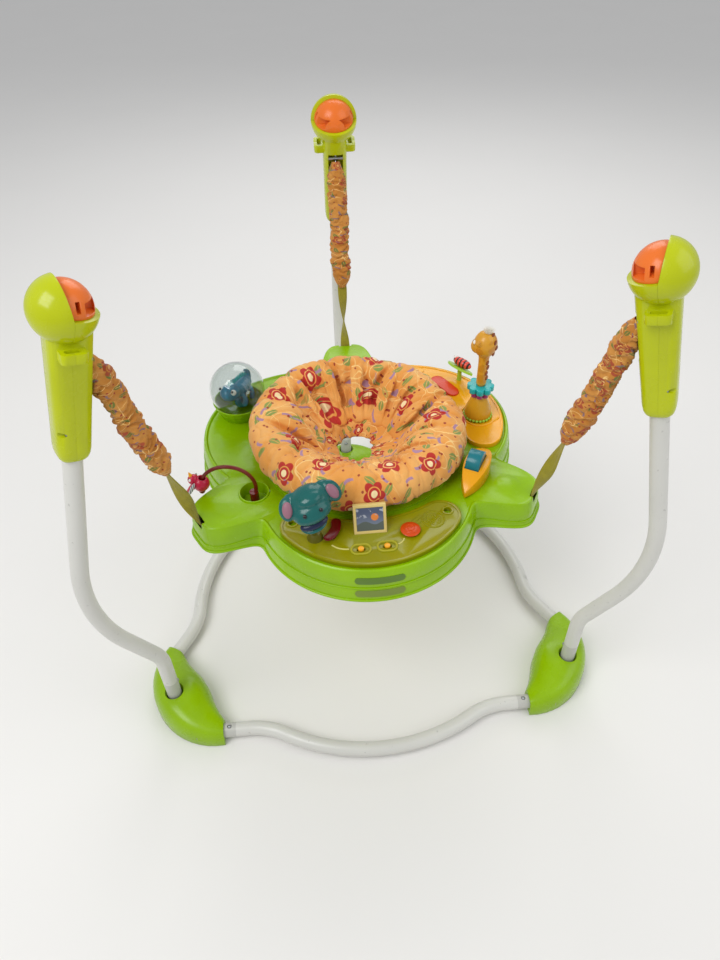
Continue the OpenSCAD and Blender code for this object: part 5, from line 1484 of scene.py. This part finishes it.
@dataclass
class Seat:
    """Padded ring, its gathered sling with leg holes, and their hems."""

    section: tuple[tuple[float, float], ...] = (
        (151, 425.6), (160, 434), (170.5, 448), (174, 464), (170.5, 481), (160, 494), (145, 500), (127, 497),
        (109, 486), (92, 470), (78, 452), (66, 435), (58, 421), (66, 415), (92, 419), (126, 425.4),
    )
    folds: tuple[Fold, ...] = (
        Fold(66, 24, 3.4, 1.0, 9), Fold(79, 11, 2.4, 0.6, -4), Fold(94, 17, 2.6, 0.95, 5),
        Fold(103, 22, 3.0, 1.0, -3), Fold(118, 12, 2.4, 0.6, 6), Fold(130, 20, 3.0, 0.9, -8),
        Fold(142, 10, 2.4, 0.55, 5), Fold(155, 18, 3.2, 0.85, -12), Fold(186, 21, 4.0, 1.0, 10),
        Fold(216, 15, 2.6, 0.6, -14), Fold(240, 7, 3.0, 0.45, 5), Fold(266, 5, 3.0, 0.4, -6),
        Fold(292, 10, 2.4, 0.55, 4), Fold(318, 14, 3.0, 0.8, -7), Fold(340, 9, 2.6, 0.5, 6),
        Fold(11, 22, 3.0, 1.0, -12), Fold(34, 12, 2.6, 0.65, 7), Fold(49, 9, 2.4, 0.5, -4),
    )
    core: tuple[float, float] = (124, 458)
    slack_deg: float = 28.0
    slack: tuple[float, float] = (8, 9)
    steps: int = 288
    swell: float = 6.0
    sling_top_z: float = 393.3
    sling_low_z: float = 263.0
    sling_r: float = 141.0
    hole_r: float = 48.0
    hole_degs: tuple[float, float] = (88.0, 188.0)
    hole_out: float = 0.717
    hole_up: float = 36.5
    hole_way: tuple[float, float, float] = (0, 0.666, -0.746)
    hem_points: int = 72
    cloth_steps: int = 168
    throat_line: tuple[tuple[float, float], ...] = ((88, 437), (70, 427), (55, 418), (42, 408), (31, 397))
    throat_print: float = 0.075

    def build(self) -> None:
        """Make the pad, the sling and the hems."""
        self.pad()
        self.throat()
        self.sling()

    def pad(self) -> None:
        """Sew the ring, crease it, and let pressure swell it between the creases."""
        path = spline([Vector((r, z, 0)) for r, z in self.section], 5, closed=True)
        middle = Vector((*self.core, 0))
        count = len(path)
        crest = max(range(count), key=lambda i: path[i].y)
        reach = self.print_reach(path, crest)
        rings = []
        for k in range(self.steps):
            deg = 360 * k / self.steps
            ring = []
            for p in path:
                pulled = self.crease(deg, p)
                q = p + (middle - p).normalized() * pulled
                near = max(0.0, math.cos(math.radians(deg - self.slack_deg)))
                q -= Vector((*self.slack, 0)) * (near ** 2 * smooth_step(430, 470, p.y))
                a = math.radians(deg)
                ring.append(Vector((q.x * math.cos(a), q.x * math.sin(a), q.y)))
            rings.append(ring)

        def flat(i: int, j: int) -> tuple[float, float]:
            """Flat coordinate of a point of the pad's cover."""
            a, r = math.tau * i / self.steps, reach[j % count] * MM
            return (r * math.cos(a), r * math.sin(a))

        pad = loft("pad_ring", rings, close=True, flat=flat, place=post_frame(0))
        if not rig.quick():
            self.puff(pad)
        finer = pad.modifiers.new("Finer", "SUBSURF")
        finer.levels = finer.render_levels = 1
        bake(pad)
        self.sharpen(pad)
        dress(pad, PRINT, node="seat_pad", angle=180)
        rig.padded(pad, fill=0.75)

    def print_reach(self, path: list[Vector], crest: int) -> list[float]:
        """Radius of each point of the section on the flat cut."""
        count = len(path)
        reach = [0.0] * count
        reach[crest] = path[crest].x
        for step in (1, -1):
            total = path[crest].x
            for i in range(1, count // 2 + 1):
                here, last = (crest + step * i) % count, (crest + step * (i - 1)) % count
                p = path[here]
                outer = p.x > path[crest].x or (p.y < 440 and p.x > 130)
                total += (1.0 if outer else -1.0) * 0.8 * (p - path[last]).length
                reach[here] = max(34.0, total)
        return reach

    def crease(self, deg: float, p: Vector) -> float:
        """How far the cover is drawn in at a point of the section."""
        top = smooth_step(416, 440, p.y)
        inner = smooth_step(168, 86, p.x) * (1.0 if p.x < 150 else top)
        pulled = 0.0
        for f in self.folds:
            off = f.off(deg, inner)
            spread = f.width * (0.75 + 1.0 * inner) * (0.55 if off * f.drift < 0 else 1.9)
            weight = smooth_step(1 - f.reach, 1.0, 0.14 + inner)
            pulled += f.depth * weight * math.exp(-((abs(off) / spread) ** 1.2))
        a = math.radians(deg)
        lump = ripple(a, 2.2, p.x * 0.018)
        fine = ripple(a, 7.0, p.x * 0.05 + p.y * 0.03)
        return pulled * (0.35 + 0.65 * top) + (4.0 * lump + 1.6 * fine) * (0.1 + 0.9 * top)

    def puff(self, pad: Piece) -> None:
        """Swell the pad by cloth simulation, held at its foot."""
        rest = [v.co.copy() for v in pad.data.vertices]
        held = pad.vertex_groups.new(name="held")
        for v in pad.data.vertices:
            weight = smooth_step(0.4345, 0.428, v.co.z)
            if weight > 0.01:
                held.add([v.index], weight, "REPLACE")
        cloth = pad.modifiers.new("Puff", "CLOTH")
        made = cloth.settings
        made.quality, made.mass = 5, 0.2
        made.tension_stiffness = made.compression_stiffness = 14
        made.shear_stiffness, made.bending_stiffness = 5, 0.4
        made.vertex_group_mass = "held"
        made.use_pressure, made.uniform_pressure_force = True, 4.0
        made.shrink_min = -0.05
        made.effector_weights.gravity = 0
        cloth.collision_settings.use_collision = False
        scene = bpy.context.scene
        for step in range(1, 21):
            scene.frame_set(step)
        bake(pad)
        for v, start in zip(pad.data.vertices, rest):
            moved = v.co - start
            limit = self.swell * MM
            if moved.length > limit:
                v.co = start + moved * (limit / moved.length)
        scene.frame_set(1)
        LOG.info("pad swollen over %d points", len(rest))

    def sharpen(self, pad: Piece) -> None:
        """Press the creases to narrow lines, and crumple the cover between them."""
        moves = []
        for v in pad.data.vertices:
            x, y, z = v.co.x / MM, v.co.y / MM - AXIS_Y, v.co.z / MM
            deg, r = math.degrees(math.atan2(y, x)), math.hypot(x, y)
            inner, top = smooth_step(168, 86, r), smooth_step(428, 452, z)
            deep = 0.0
            for f in self.folds:
                off = f.off(deg, inner)
                if abs(off) < 8:
                    weight = smooth_step(1 - f.reach, 1.0, 0.2 + inner)
                    deep += 0.6 * f.depth * weight * math.exp(-((off / (0.8 + 0.9 * inner)) ** 2))
            a = math.radians(deg)
            ridge = 1 - abs(ripple(a, 5.5, r * 0.013 + z * 0.006))
            small = 1 - abs(ripple(a, 9, r * 0.03, 4))
            moves.append(v.normal * -(deep + 4.4 * ridge ** 9 + 2.4 * small ** 10) * top * MM)
        for v, move in zip(pad.data.vertices, moves):
            v.co += move

    def throat(self) -> None:
        """Slack inner edge of the cover, gathered together over the sling."""
        count = self.cloth_steps
        profile = spline([Vector((r, z, 0)) for r, z in self.throat_line], 6)
        rings = []
        for i, p in enumerate(profile):
            share = i / (len(profile) - 1)
            ring = []
            for a in angles(count):
                loose = ripple(a, 1.6, share * 1.4)
                gather = (0.8 + 1.2 * share) * math.cos(9 * a + 5 * loose) + 7.0 * share * loose
                x, y = (p.x + gather) * math.cos(a), (p.x + gather) * math.sin(a)
                ring.append(Vector((x - 6 * share, y + 22 * share ** 1.3, p.y + 2.5 * loose)))
            rings.append(ring)
        wide = math.tau * profile[0].x * MM

        def flat(i: int, j: int) -> tuple[float, float]:
            """Flat coordinate of a point of the inner edge."""
            return (wide * j / count + 1.3, self.throat_print * i / (len(profile) - 1))

        piece = loft("cover_throat", rings, caps=False, flat=flat, place=post_frame(0))
        area = cloth_area(piece)
        dress(thicken(piece, 0.9, 0.0), PRINT, "seat", angle=180)
        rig.slot(piece, "print_fabric")
        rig.sheet(piece, flat=(wide, area / wide), held="gathered", rests_on=["pad_ring"])
        LOG.info("throat cloth %.4f m2", area)

    def hole_axis(self, deg: float) -> tuple[Vector, Vector]:
        """Middle of a leg hole and the direction that the leg leaves in."""
        turn = rotation(deg - 90)
        middle = Vector((0, self.sling_r * self.hole_out, self.sling_low_z + self.hole_up))
        return turn @ middle, turn @ Vector(self.hole_way)

    def sling(self) -> None:
        """Hang the gathered bowl, cut the leg holes and hem them."""
        rows, count = 46, self.cloth_steps
        rings = []
        for i in range(rows + 1):
            share = i / rows
            deep = 4 * share * (1 - share)
            z = self.sling_top_z - (self.sling_top_z - self.sling_low_z) * share
            ring = []
            for a in angles(count):
                fold = deep * (3.0 * math.cos(9 * a) + 2.2 * math.sin(17 * a + 2.0) * (1 - share))
                sag = ripple(a, 1.5, share * 3) * 5 * deep
                r = max(1.5, self.sling_r * math.sqrt(max(0.0, 1 - share ** 2.2)) + fold + sag)
                ring.append(Vector((r * math.cos(a), r * math.sin(a), z)))
            rings.append(ring)

        def flat(i: int, j: int) -> tuple[float, float]:
            """Flat coordinate of a point of the sling."""
            a, r = math.tau * j / count, 0.24 * (1 - i / rows) + 0.004
            return (r * math.cos(a) + 0.7, r * math.sin(a))

        sling = loft("sling_bowl", rings, caps=False, flat=flat, place=post_frame(0))
        holes = [self.hole_axis(deg) for deg in self.hole_degs]
        hems = [self.hem(sling, k, middle, way) for k, (middle, way) in enumerate(holes)]
        bm = bmesh.new()
        bm.from_mesh(sling.data)
        gone = []
        for face in bm.faces:
            p = face.calc_center_median() / MM - Vector((0, AXIS_Y, 0))
            for middle, way in holes:
                off = (p - middle) - way * (p - middle).dot(way)
                if off.length < self.hole_r - 0.5 and (p - middle).dot(way) > -30:
                    gone.append(face)
                    break
        bmesh.ops.delete(bm, geom=gone, context="FACES")
        bm.to_mesh(sling.data)
        bm.free()
        area = cloth_area(sling)
        dress(thicken(sling, 1.2, 1.0), PRINT, node="seat_sling", angle=180)
        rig.sheet(sling, flat=(0.5, 0.5), held="hung", rests_on=["seat_retainer"], area=area, with_pieces=hems)
        LOG.info("sling cloth %.4f m2", area)

    def hem(self, sling: Piece, k: int, middle: Vector, way: Vector) -> Piece:
        """Elasticated binding round a leg hole, laid on the bowl."""
        side = way.cross(Vector((0, 0, 1))).normalized()
        up = side.cross(way)
        shift = Vector((0, AXIS_Y, 0))
        count = self.hem_points
        path = []
        for a in angles(count):
            rim = middle + (side * math.cos(a) + up * math.sin(a)) * self.hole_r
            hit, where, _, _ = sling.ray_cast((rim + way * 160 + shift) * MM, -way)
            path.append(where / MM if hit else rim + shift)
        for _ in range(3):
            path = [(path[i - 1] + 2 * path[i] + path[(i + 1) % count]) / 4 for i in range(count)]
        radii = [3.4 + 0.7 * math.sin(17 * a) for a in angles(count)]
        return dress(tube(f"leg_hem_{k}", path, radii, 10, closed=True), HEM, "seat", angle=180)


@dataclass
class PanelTrim:
    """Raised frames, lines and pips on the tray's panels and buttons; the cream lines are a painted highlight along
    the front panel's raised edge.
    """

    field_z: float = FIELD_Z
    line_r: float = 1.1

    def build(self) -> None:
        """Make the trim of the front panel, then of the side panel."""
        front = spot(FRONT_LOBE, 0, 0)
        olive, pale = FINISH_OF_SLOT["olive_panel"], Moulded("rim_pale_olive", (172, 168, 44), 0.24, 0.2)
        for k, (x, y) in enumerate(((-20, -234), (18, -232))):
            path = capsule_path(28, 18, self.field_z + 0.3)
            rim = tube(f"switch_rim_{k}", path, 1.7, 8, closed=True, place=spot(FRONT_LOBE, x, y))
            dress(rim, pale, "tray")
        # Cream lines: painted highlight where the front panel's raised edge catches the light.
        painted_highlight_cream = Moulded("line_cream", (214, 206, 120), 0.28, 0.3)
        lines = (
            ((-61, -222), (-53, -228), (-45, -231), (-37, -232)),
            ((34, -230), (38, -228), (42, -224), (44, -220)),
        )
        for k, points in enumerate(lines):
            path = spline([Vector((x, y, self.field_z)) for x, y in points], 8)
            dress(tube(f"panel_line_{k}", path, self.line_r, 8, place=front), painted_highlight_cream, "tray")
        for k in range(3):
            low = Vector((60 + 5 * k, -187 - 3 * k, self.field_z))
            path = [low, low + Vector((6, 5, 0)), low + Vector((12, 10, 0))]
            dress(tube(f"panel_stripe_{k}", path, 1.0, 8, place=front), olive, "tray")
        self.grille(front, olive)
        self.card()
        self.arch()
        self.button_pips()

    def grille(self, front: Matrix, olive: Finish) -> None:
        """Round speaker grille: a raised ring with pips inside."""
        middle = Vector((92, -187, self.field_z))
        rows = [[middle + p for p in circle(r, 0, 48)] for r in (3.6, 7.4, 11.2, 16.5)]
        dress(tube("grille_ring", rows[3], 1.2, 8, closed=True, place=front), olive, "tray")
        DetailRow("grille_pips", Detail.BEAD, 3.8, 1.2, 1.2).lay(rows[:3], olive, "tray", front, closed=True)

    def card(self) -> None:
        """Printed card inside its frame."""
        w, h, rows, columns = 39.2, 35.0, 8, 12

        def point(i: int, j: int) -> Vector:
            """Point of the card, which bulges a little."""
            u, v = j / columns - 0.5, i / rows - 0.5
            return Vector((w * u, h * v, 0.3 * math.cos(math.pi * u) * math.cos(math.pi * v) - 0.55))

        def flat(i: int, j: int) -> tuple[float, float]:
            """Flat coordinate of a point of the card."""
            p = point(i, j) * MM
            return (p.x, p.y)

        rings = [[point(i, j) for j in range(columns + 1)] for i in range(rows + 1)]
        lean = spot(FRONT_LOBE, -3, -205.5, 427.9) @ rotation(62.9, "X")
        place = lean @ Matrix.Translation((0, 21.9, 0))
        face = loft("card_picture", rings, wrap=False, flat=flat, place=place)
        dress(thicken(face, 0.4), Landscape("card_scene"), "tray")

    def arch(self) -> None:
        """Raised arch round the giraffe's foot."""
        line = ((-27, -24), (-29, 4), (-18, 22), (0, 27), (18, 22), (29, 4), (27, -24))
        path = spline([Vector((x, y, self.field_z)) for x, y in line], 8)
        piece = tube("giraffe_arch", path, 2.0, 10, place=spot(SIDE_LOBE, -62, -205))
        dress(piece, FINISH_OF_SLOT["side_yellow"], "tray")

    def button_pips(self) -> None:
        """Broad caps of the two press buttons, with a swirl on the round one."""
        maroon, orange = FINISH_OF_SLOT["dark_red"], FINISH_OF_SLOT["round_orange"]
        bean = spot(FRONT_LOBE, -57, -198, self.field_z + 5.0, 62)
        cap = Clay("bean_cap", 0.6, 4)
        cap.limb(((-15, 1.6, 0), (-8.5, -0.6, 0), (0, -2.0, 0), (8.5, -0.6, 0), (17, 3.4, 0)),
                 (7.0, 7.6, 7.4, 7.6, 7.8))
        dress(cap.fuse(bean @ Matrix.Diagonal((1, 1, 0.22, 1))), maroon, "bean_button", angle=60)
        button = spot(FRONT_LOBE, 55, -206, self.field_z)
        profile = ((0.3, 6.0), (5, 5.9), (10, 5.3), (13.2, 4.3), (14.6, 3.4), (14.4, 2.8), (11.0, 2.7))
        rings = [circle(r, h, 48) for r, h in profile]
        dress(loft("round_cap", rings, place=button), orange, "round_button", angle=50)
        path = [Vector((r * math.cos(a), r * math.sin(a), 5.9 - r * r * 0.006))
                for r, a in ((1.5 + 8.6 * s / 44, math.tau * 1.9 * s / 44) for s in range(45))]
        dress(tube("button_swirl", path, 0.8, 8, place=button), orange, "round_button")


@dataclass
class RimTrim:
    """Lip and parting bead round the tray, and two plain oval plates on its front."""

    low_z: float = 365.0
    split_z: float = 392.0
    ear_lift: float = 15.0
    points: int = 540
    skirt: tuple[tuple[float, float], ...] = ((365, 0), (370, 0), (392, 2), (408, 3), (416, 4.5), (423, 6.5))

    def build(self) -> None:
        """Make the lip and the bead, then the plates."""
        degs = [360 * i / self.points for i in range(self.points)]
        lip = []
        for deg in degs:
            lift = self.ear_lift * smooth_step(20, 8, abs(ear_angle(deg)))
            lip.append(self.at(deg, 0.4, self.low_z + 2.4 + lift))
        dress(tube("tray_lip", lip, 2.2, 10, closed=True, place=post_frame(0)), GREEN, "tray", angle=60)
        bead = [self.at(deg, -1.7, self.split_z + 0.15) for deg in degs]
        dress(tube("tray_bead", bead, 1.1, 8, closed=True, place=post_frame(0)), GREEN, "tray", angle=60)
        self.plate("front_plate_high", 407.0, 37.0, 6.0, Moulded("plate_grey_green", (90, 122, 40), 0.4, 0.1))
        self.plate("front_plate_low", 381.5, 37.0, 6.4, Moulded("plate_sage", (118, 138, 52), 0.4, 0.1))

    def at(self, deg: float, out: float, z: float) -> Vector:
        """Point at an angle, that far out of the tray's outline."""
        r = tray_edge(deg) + out
        return Vector((r * math.cos(math.radians(deg)), r * math.sin(math.radians(deg)), z))

    def inset(self, z: float) -> float:
        """How far the skirt is drawn in from the outline at a height."""
        for (za, a), (zb, b) in zip(self.skirt, self.skirt[1:]):
            if z <= zb:
                return a + (b - a) * (z - za) / (zb - za)
        return self.skirt[-1][1]

    def plate(self, name: str, z: float, half: float, tall: float, finish: Finish) -> None:
        """Lay a plain oval plate on the front of the skirt.

        Args:
            name: Name of the plate.
            z: Height of its middle line.
            half: Half its length.
            tall: Half its height.
            finish: Its finish.
        """
        rings = []
        for i in range(49):
            x = -half + 2 * half * i / 48
            over = max(0.0, abs(x) - (half - tall))
            rise = math.sqrt(max(0.02, tall ** 2 - over ** 2))
            deg = -90 + math.degrees((x + 3) / tray_edge(-90))
            levels = [z - rise + 2 * rise * j / 8 for j in range(9)]
            rings.append([self.at(deg, 0.3 - self.inset(level), level) for level in levels])
        plate = loft(name, rings, wrap=False, flat=lambda i, j: (0.001 * i, 0.001 * j), place=post_frame(0))
        dress(thicken(plate, 1.0, 0.0), finish, "tray", angle=50)


@dataclass
class Animals:
    """Moulded toys of the tray: elephant, giraffe, lizard, bird and bug."""

    def build(self) -> None:
        """Make each toy."""
        self.elephant()
        self.giraffe()
        self.lizard()
        self.bird()
        self.bug()

    def eyes(self, name: str, place: Matrix, body: str, points: Sequence[Sequence[float]], r: float,
             look: Sequence[float]) -> None:
        """White eyes with dark pupils that look along a direction."""
        white = Clay(name + "_eyes", r * 0.22, 2)
        dark = Clay(name + "_pupils", r * 0.18, 2)
        for p in points:
            white.ball(p, (r, r, r))
            dark.ball(Vector(p) + Vector(look).normalized() * r * 0.62, (r * 0.55,) * 3)
        dress(white.fuse(place), EYE_WHITE, body)
        dress(dark.fuse(place), EYE_DARK, body)

    def elephant(self) -> None:
        """Broad head with cupped ears, a wide muzzle and an open mouth."""
        place = spot(FRONT_LOBE, -84, -204, 492, 14) @ rotation(-13, "Y")
        head = Clay("elephant_head_form", 1.0, 10)
        head.ball((0, 3, 9), (31, 25, 24)).ball((-3, -10, 4), (29, 20, 18)).ball((0, -4, 22), (20, 16, 10))
        head.ball((-8, -16, -17), (20, 15, 4.6), (12, 0, 0)).ball((-5, -4, -13), (19, 13, 10))
        head.ball((-5, -18, 3), (24, 14, 11))
        for side in (-1, 1):
            head.ball((side * 23, 5, 12), (17, 10, 18), (-34, 0, side * 12))
            head.ball((side * 33, 1, 13), (12.5, 7.0, 17.5), (-38, side * -8, side * 18))
        dress(head.fuse(place), FINISH_OF_SLOT["elephant_teal"], node="elephant_head", angle=75)
        inner = Clay("elephant_ear_insides", 0.8, 5)
        for side in (-1, 1):
            inner.ball((side * 33.5, -3.6, 16.0), (7.6, 4.4, 12.0), (-38, side * -8, side * 18))
        dress(inner.fuse(place), Moulded("ear_mauve", (150, 104, 118), 0.4, 0.05), "elephant_head", angle=70)
        mouth = Clay("elephant_mouth", 0.8, 4)
        mouth.ball((-7, -20.5, -10.6), (21.0, 9.8, 6.4), (10, 0, 0))
        dress(mouth.fuse(place), FINISH_OF_SLOT["navy"], "elephant_head", angle=70)
        eyes = Clay("elephant_eyes", 0.4, 3)
        for side in (-1, 1):
            eyes.ball((side * 12 - 3, -26.0, 14.5), (2.6, 1.6, 3.0), (-40, 0, 0))
        dress(eyes.fuse(place), EYE_DARK, "elephant_head", angle=70)

    def giraffe(self) -> None:
        """Giraffe on its barrel foot, with an egg-shaped head, a spotted mane and a tuft."""
        place = spot(SIDE_LOBE, -62, -205)
        z = 570.0
        foot = ((0.4, 428), (20, 428), (22.4, 431), (22.6, 438), (21.0, 446), (17.5, 455), (14.5, 463),
                (11.0, 470), (8.4, 473), (6.2, 473.6))
        rings = [circle(r, h, 48) for r, h in foot]
        dress(loft("giraffe_foot", rings, place=place), FINISH_OF_SLOT["ochre"], "tray", angle=50)
        DetailRow("foot_beads", Detail.BEAD, 6.0, 2.7, 2.7).lay(
            [circle(22.4, 430.8, 64)], FINISH_OF_SLOT["leaf_green"], "tray", place, closed=True)
        facing = place @ rotation(-70)
        body = Clay("giraffe_form", 1.0, 5)
        body.limb(((0, 0, 470), (0, 0, 480), (0, 0, 490), (0, 0, 496)), (6.0, 6.0, 6.0, 7.0))
        body.limb(((0, 0, 498), (0, 0, 520), (0, 0, 540), (0, 0, 552)), (8.6, 8.4, 8.6, 9.6))
        body.ball((0, 0, z + 1), (19.5, 19.0, 23.0)).ball((0, 12, z - 6), (13, 12, 13))
        for side in (-1, 1):
            body.ball((side * 19, 2, z + 10), (6.5, 3.4, 5.0), (0, side * -30, side * 10))
        patched = Patched("giraffe_patched", (212, 152, 34), (198, 134, 26), 0.02)
        dress(body.fuse(facing), patched, node="giraffe", angle=70)
        mane = Clay("giraffe_mane", 0.7, 3)
        for k in range(9):
            h = 508 + 10.2 * k
            bulge = h - z - 1
            out = 8.2 if h < 548 else 18.6 * math.sqrt(max(0.05, 1 - (bulge / 23.0) ** 2))
            mane.ball((1.4 * (-1) ** k, -out, h), (4.6, 1.6, 4.6))
        dress(mane.fuse(facing), Moulded("mane_brown", (136, 66, 26), 0.4, 0.1), "tray", angle=70)
        tuft, aims = [], []
        for k in range(90):
            a, spread = GOLDEN_ANGLE * k, math.sqrt(k / 90)
            x, y = spread * math.cos(a), spread * math.sin(a)
            low = Vector((5.0 * x, -3 + 5.0 * y, z + 22.5))
            tuft.append([low, low + Vector((0, 0, 0.1))])
            aims.append([Vector((0.9 * x, 0.9 * y, 1.0)).normalized()] * 2)
        white = Moulded("tuft_white", (236, 232, 220), 0.7, 0.0)
        DetailRow("giraffe_tuft", Detail.SPINE, 5.0, 10.0, 0.6, 0.4).lay(tuft, white, "tray", facing, aims)
        self.eyes("giraffe", facing, "tray", ((-12, 13, z + 6), (12, 13, z + 6)), 3.6, (0, 0.8, 0.3))

    def lizard(self) -> None:
        """Small lizard inside the clear ball, with a comb of spines."""
        place = spot(BUBBLE_LOBE, 0, -230, 470) @ Matrix.Translation((-7, 0, 0)) @ Matrix.Scale(1.4, 4)
        body = Clay("lizard_form", 1.0, 5)
        body.ball((0, 0, -22), (9, 9, 8))
        body.limb(((0, 0, -22), (-2, 0, -12), (-4, 0, -4)), (6.5, 6.0, 6.5))
        body.limb(((-12, 0, 0), (-2, 0, 1), (9, 0, 2)), (9.0, 11.5, 11.0))
        body.ball((20, 0, 5), (14.0, 11.5, 10.0), (0, -14, 0))
        body.limb(((-14, 0, -2), (-20, 0, 2), (-21, 0, 9), (-16, 0, 14)), (6.0, 4.4, 3.4, 2.2))
        for x in (-9, 8):
            for side in (-1, 1):
                leg = ((x, side * 6, -2), (x + 2, side * 13, -7), (x + 5, side * 14, -13))
                body.limb(leg, (3.6, 3.0, 3.4))
        dress(body.fuse(place), FINISH_OF_SLOT["lizard_blue"], node="lizard", angle=70)
        path = [Vector((x, 0, z)) for x, z in ((-17, 6), (-9, 10.5), (0, 12), (8, 12), (14, 14), (20, 14.6))]
        comb = spline(path, 6)
        DetailRow("lizard_comb", Detail.SPINE, 5.4, 9.0, 2.9, 0.2).lay(
            [comb], FINISH_OF_SLOT["ring_teal"], "bubble", place, [[Vector((-0.2, 0, 1))] * len(comb)])
        self.eyes("lizard", place, "bubble", ((25, -8.4, 10.5), (25, 8.4, 10.5)), 3.6, (0.6, 0, 0.6))

    def bird(self) -> None:
        """Bird bead that slides on the arched wire, with striped wings."""
        upright = Matrix(((0, 0, 1, 0), (1, 0, 0, 0), (0, 1, 0, 0), (0, 0, 0, 1)))
        arch = spot(POST_TURNS["left"], 0, 200, 440, -35) @ Matrix.Translation((0, 37.8, 0)) @ upright
        place = arch @ rotation(13) @ Matrix.Translation((41.4, 0, 0)) @ Matrix.Scale(1.25, 4)
        profile = ((4.4, -9.2), (7.4, -7.2), (9.6, -3.4), (10.3, 0), (9.6, 3.6), (7.6, 7.0), (4.4, 9.0),
                   (4.1, 0))
        path = spline([Vector((r, 0, h)) for r, h in profile], 4, closed=True)
        rings = [[Vector((p.x * math.cos(a), p.z, p.x * math.sin(a))) for p in path] for a in angles(40)]
        crimson = FINISH_OF_SLOT["crimson"]
        dress(loft("bird_body", rings, close=True, place=place), crimson, node="bird_bead", angle=60)
        extra = Clay("bird_head", 0.7, 4)
        extra.ball((10, 4.5, 0), (7.0, 7.0, 6.6))
        extra.limb(((8, -5, 0), (12, -12, 0), (15, -17, 0)), (4.4, 3.4, 2.0))
        dress(extra.fuse(place), crimson, "bird_bead", angle=70)
        beak = Clay("bird_beak", 0.5, 2)
        beak.limb(((13.5, 9.5, 0), (16, 14.5, 0)), (2.6, 0.8))
        dress(beak.fuse(place), FINISH_OF_SLOT["amber"], "bird_bead", angle=70)
        stripe = Striped("wing_stripe", (206, 206, 206), (96, 100, 108), 0.0042)
        for name, side in (("bird_wing_low", -1), ("bird_wing_high", 1)):
            rings = []
            for i in range(15):
                s = i / 14
                w = 5.6 * math.sin(math.pi * (0.12 + 0.86 * s)) ** 0.7
                x, y, z = 7.0 + 6.5 * s, 5 - 17 * s, 9.2 + 2.0 * s
                rings.append([Vector((x + 0.2 * w * math.cos(a), y + 0.8 * w * math.cos(a),
                                      side * (z + 1.1 * math.sin(a)))) for a in angles(20)])
            wing = loft(name, rings, flat=lambda i, j: (0.0, 0.0012 * i), place=place)
            dress(wing, stripe, "bird_bead", angle=60)
        self.eyes("bird", place, "bird_bead", ((13.5, 6.5, -4.4), (13.5, 6.5, 4.4)), 2.0, (0.8, 0.4, 0))

    def bug(self) -> None:
        """Striped bug that lies on its leaf."""
        place = spot(SIDE_LOBE, 36, -249, 452, 6) @ rotation(30, "X")
        rings = []
        rows = 40
        for i in range(rows + 1):
            share = i / rows
            x = -20 + 40 * share
            r = 8.2 * max(0.03, 1 - abs(2 * share - 1) ** 2.6) ** 0.5
            r *= 1 + 0.05 * math.cos(math.tau * 5 * share)
            rings.append([Vector((x, r * math.cos(a), 10.2 + r * math.sin(a) * 0.98)) for a in angles(28)])
        body = loft("bug_body", rings, flat=lambda i, j: (0.0, 0.001 * i), place=place)
        stripe = Striped("bug_stripe", (222, 74, 54), (36, 24, 26), 0.008, 0.4)
        dress(body, stripe, node="striped_bug", angle=60)
        self.eyes("bug", place, "tray", ((16.5, -4.4, 14.5), (16.5, 4.4, 14.5)), 2.6, (0.7, 0, 0.7))


def write_sizes() -> None:
    """Write the boxes of the solids and of the dressed part."""
    boxes = {"cad": [list(c) for c in CAD_BOX], "visual": [list(c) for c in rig.bounds()]}
    with open("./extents.json", "w", encoding="utf-8") as out:
        json.dump(boxes, out)


def main() -> None:
    """Build the scene in order."""
    logging.basicConfig(level=logging.INFO, format="%(name)s: %(message)s")
    for builder in (Studio(), HardParts(), Suspension(), Seat(), RimTrim(), PanelTrim(), Animals()):
        LOG.info("building %s", type(builder).__name__)
        builder.build()
    write_sizes()


if __name__ == "__main__":
    main()
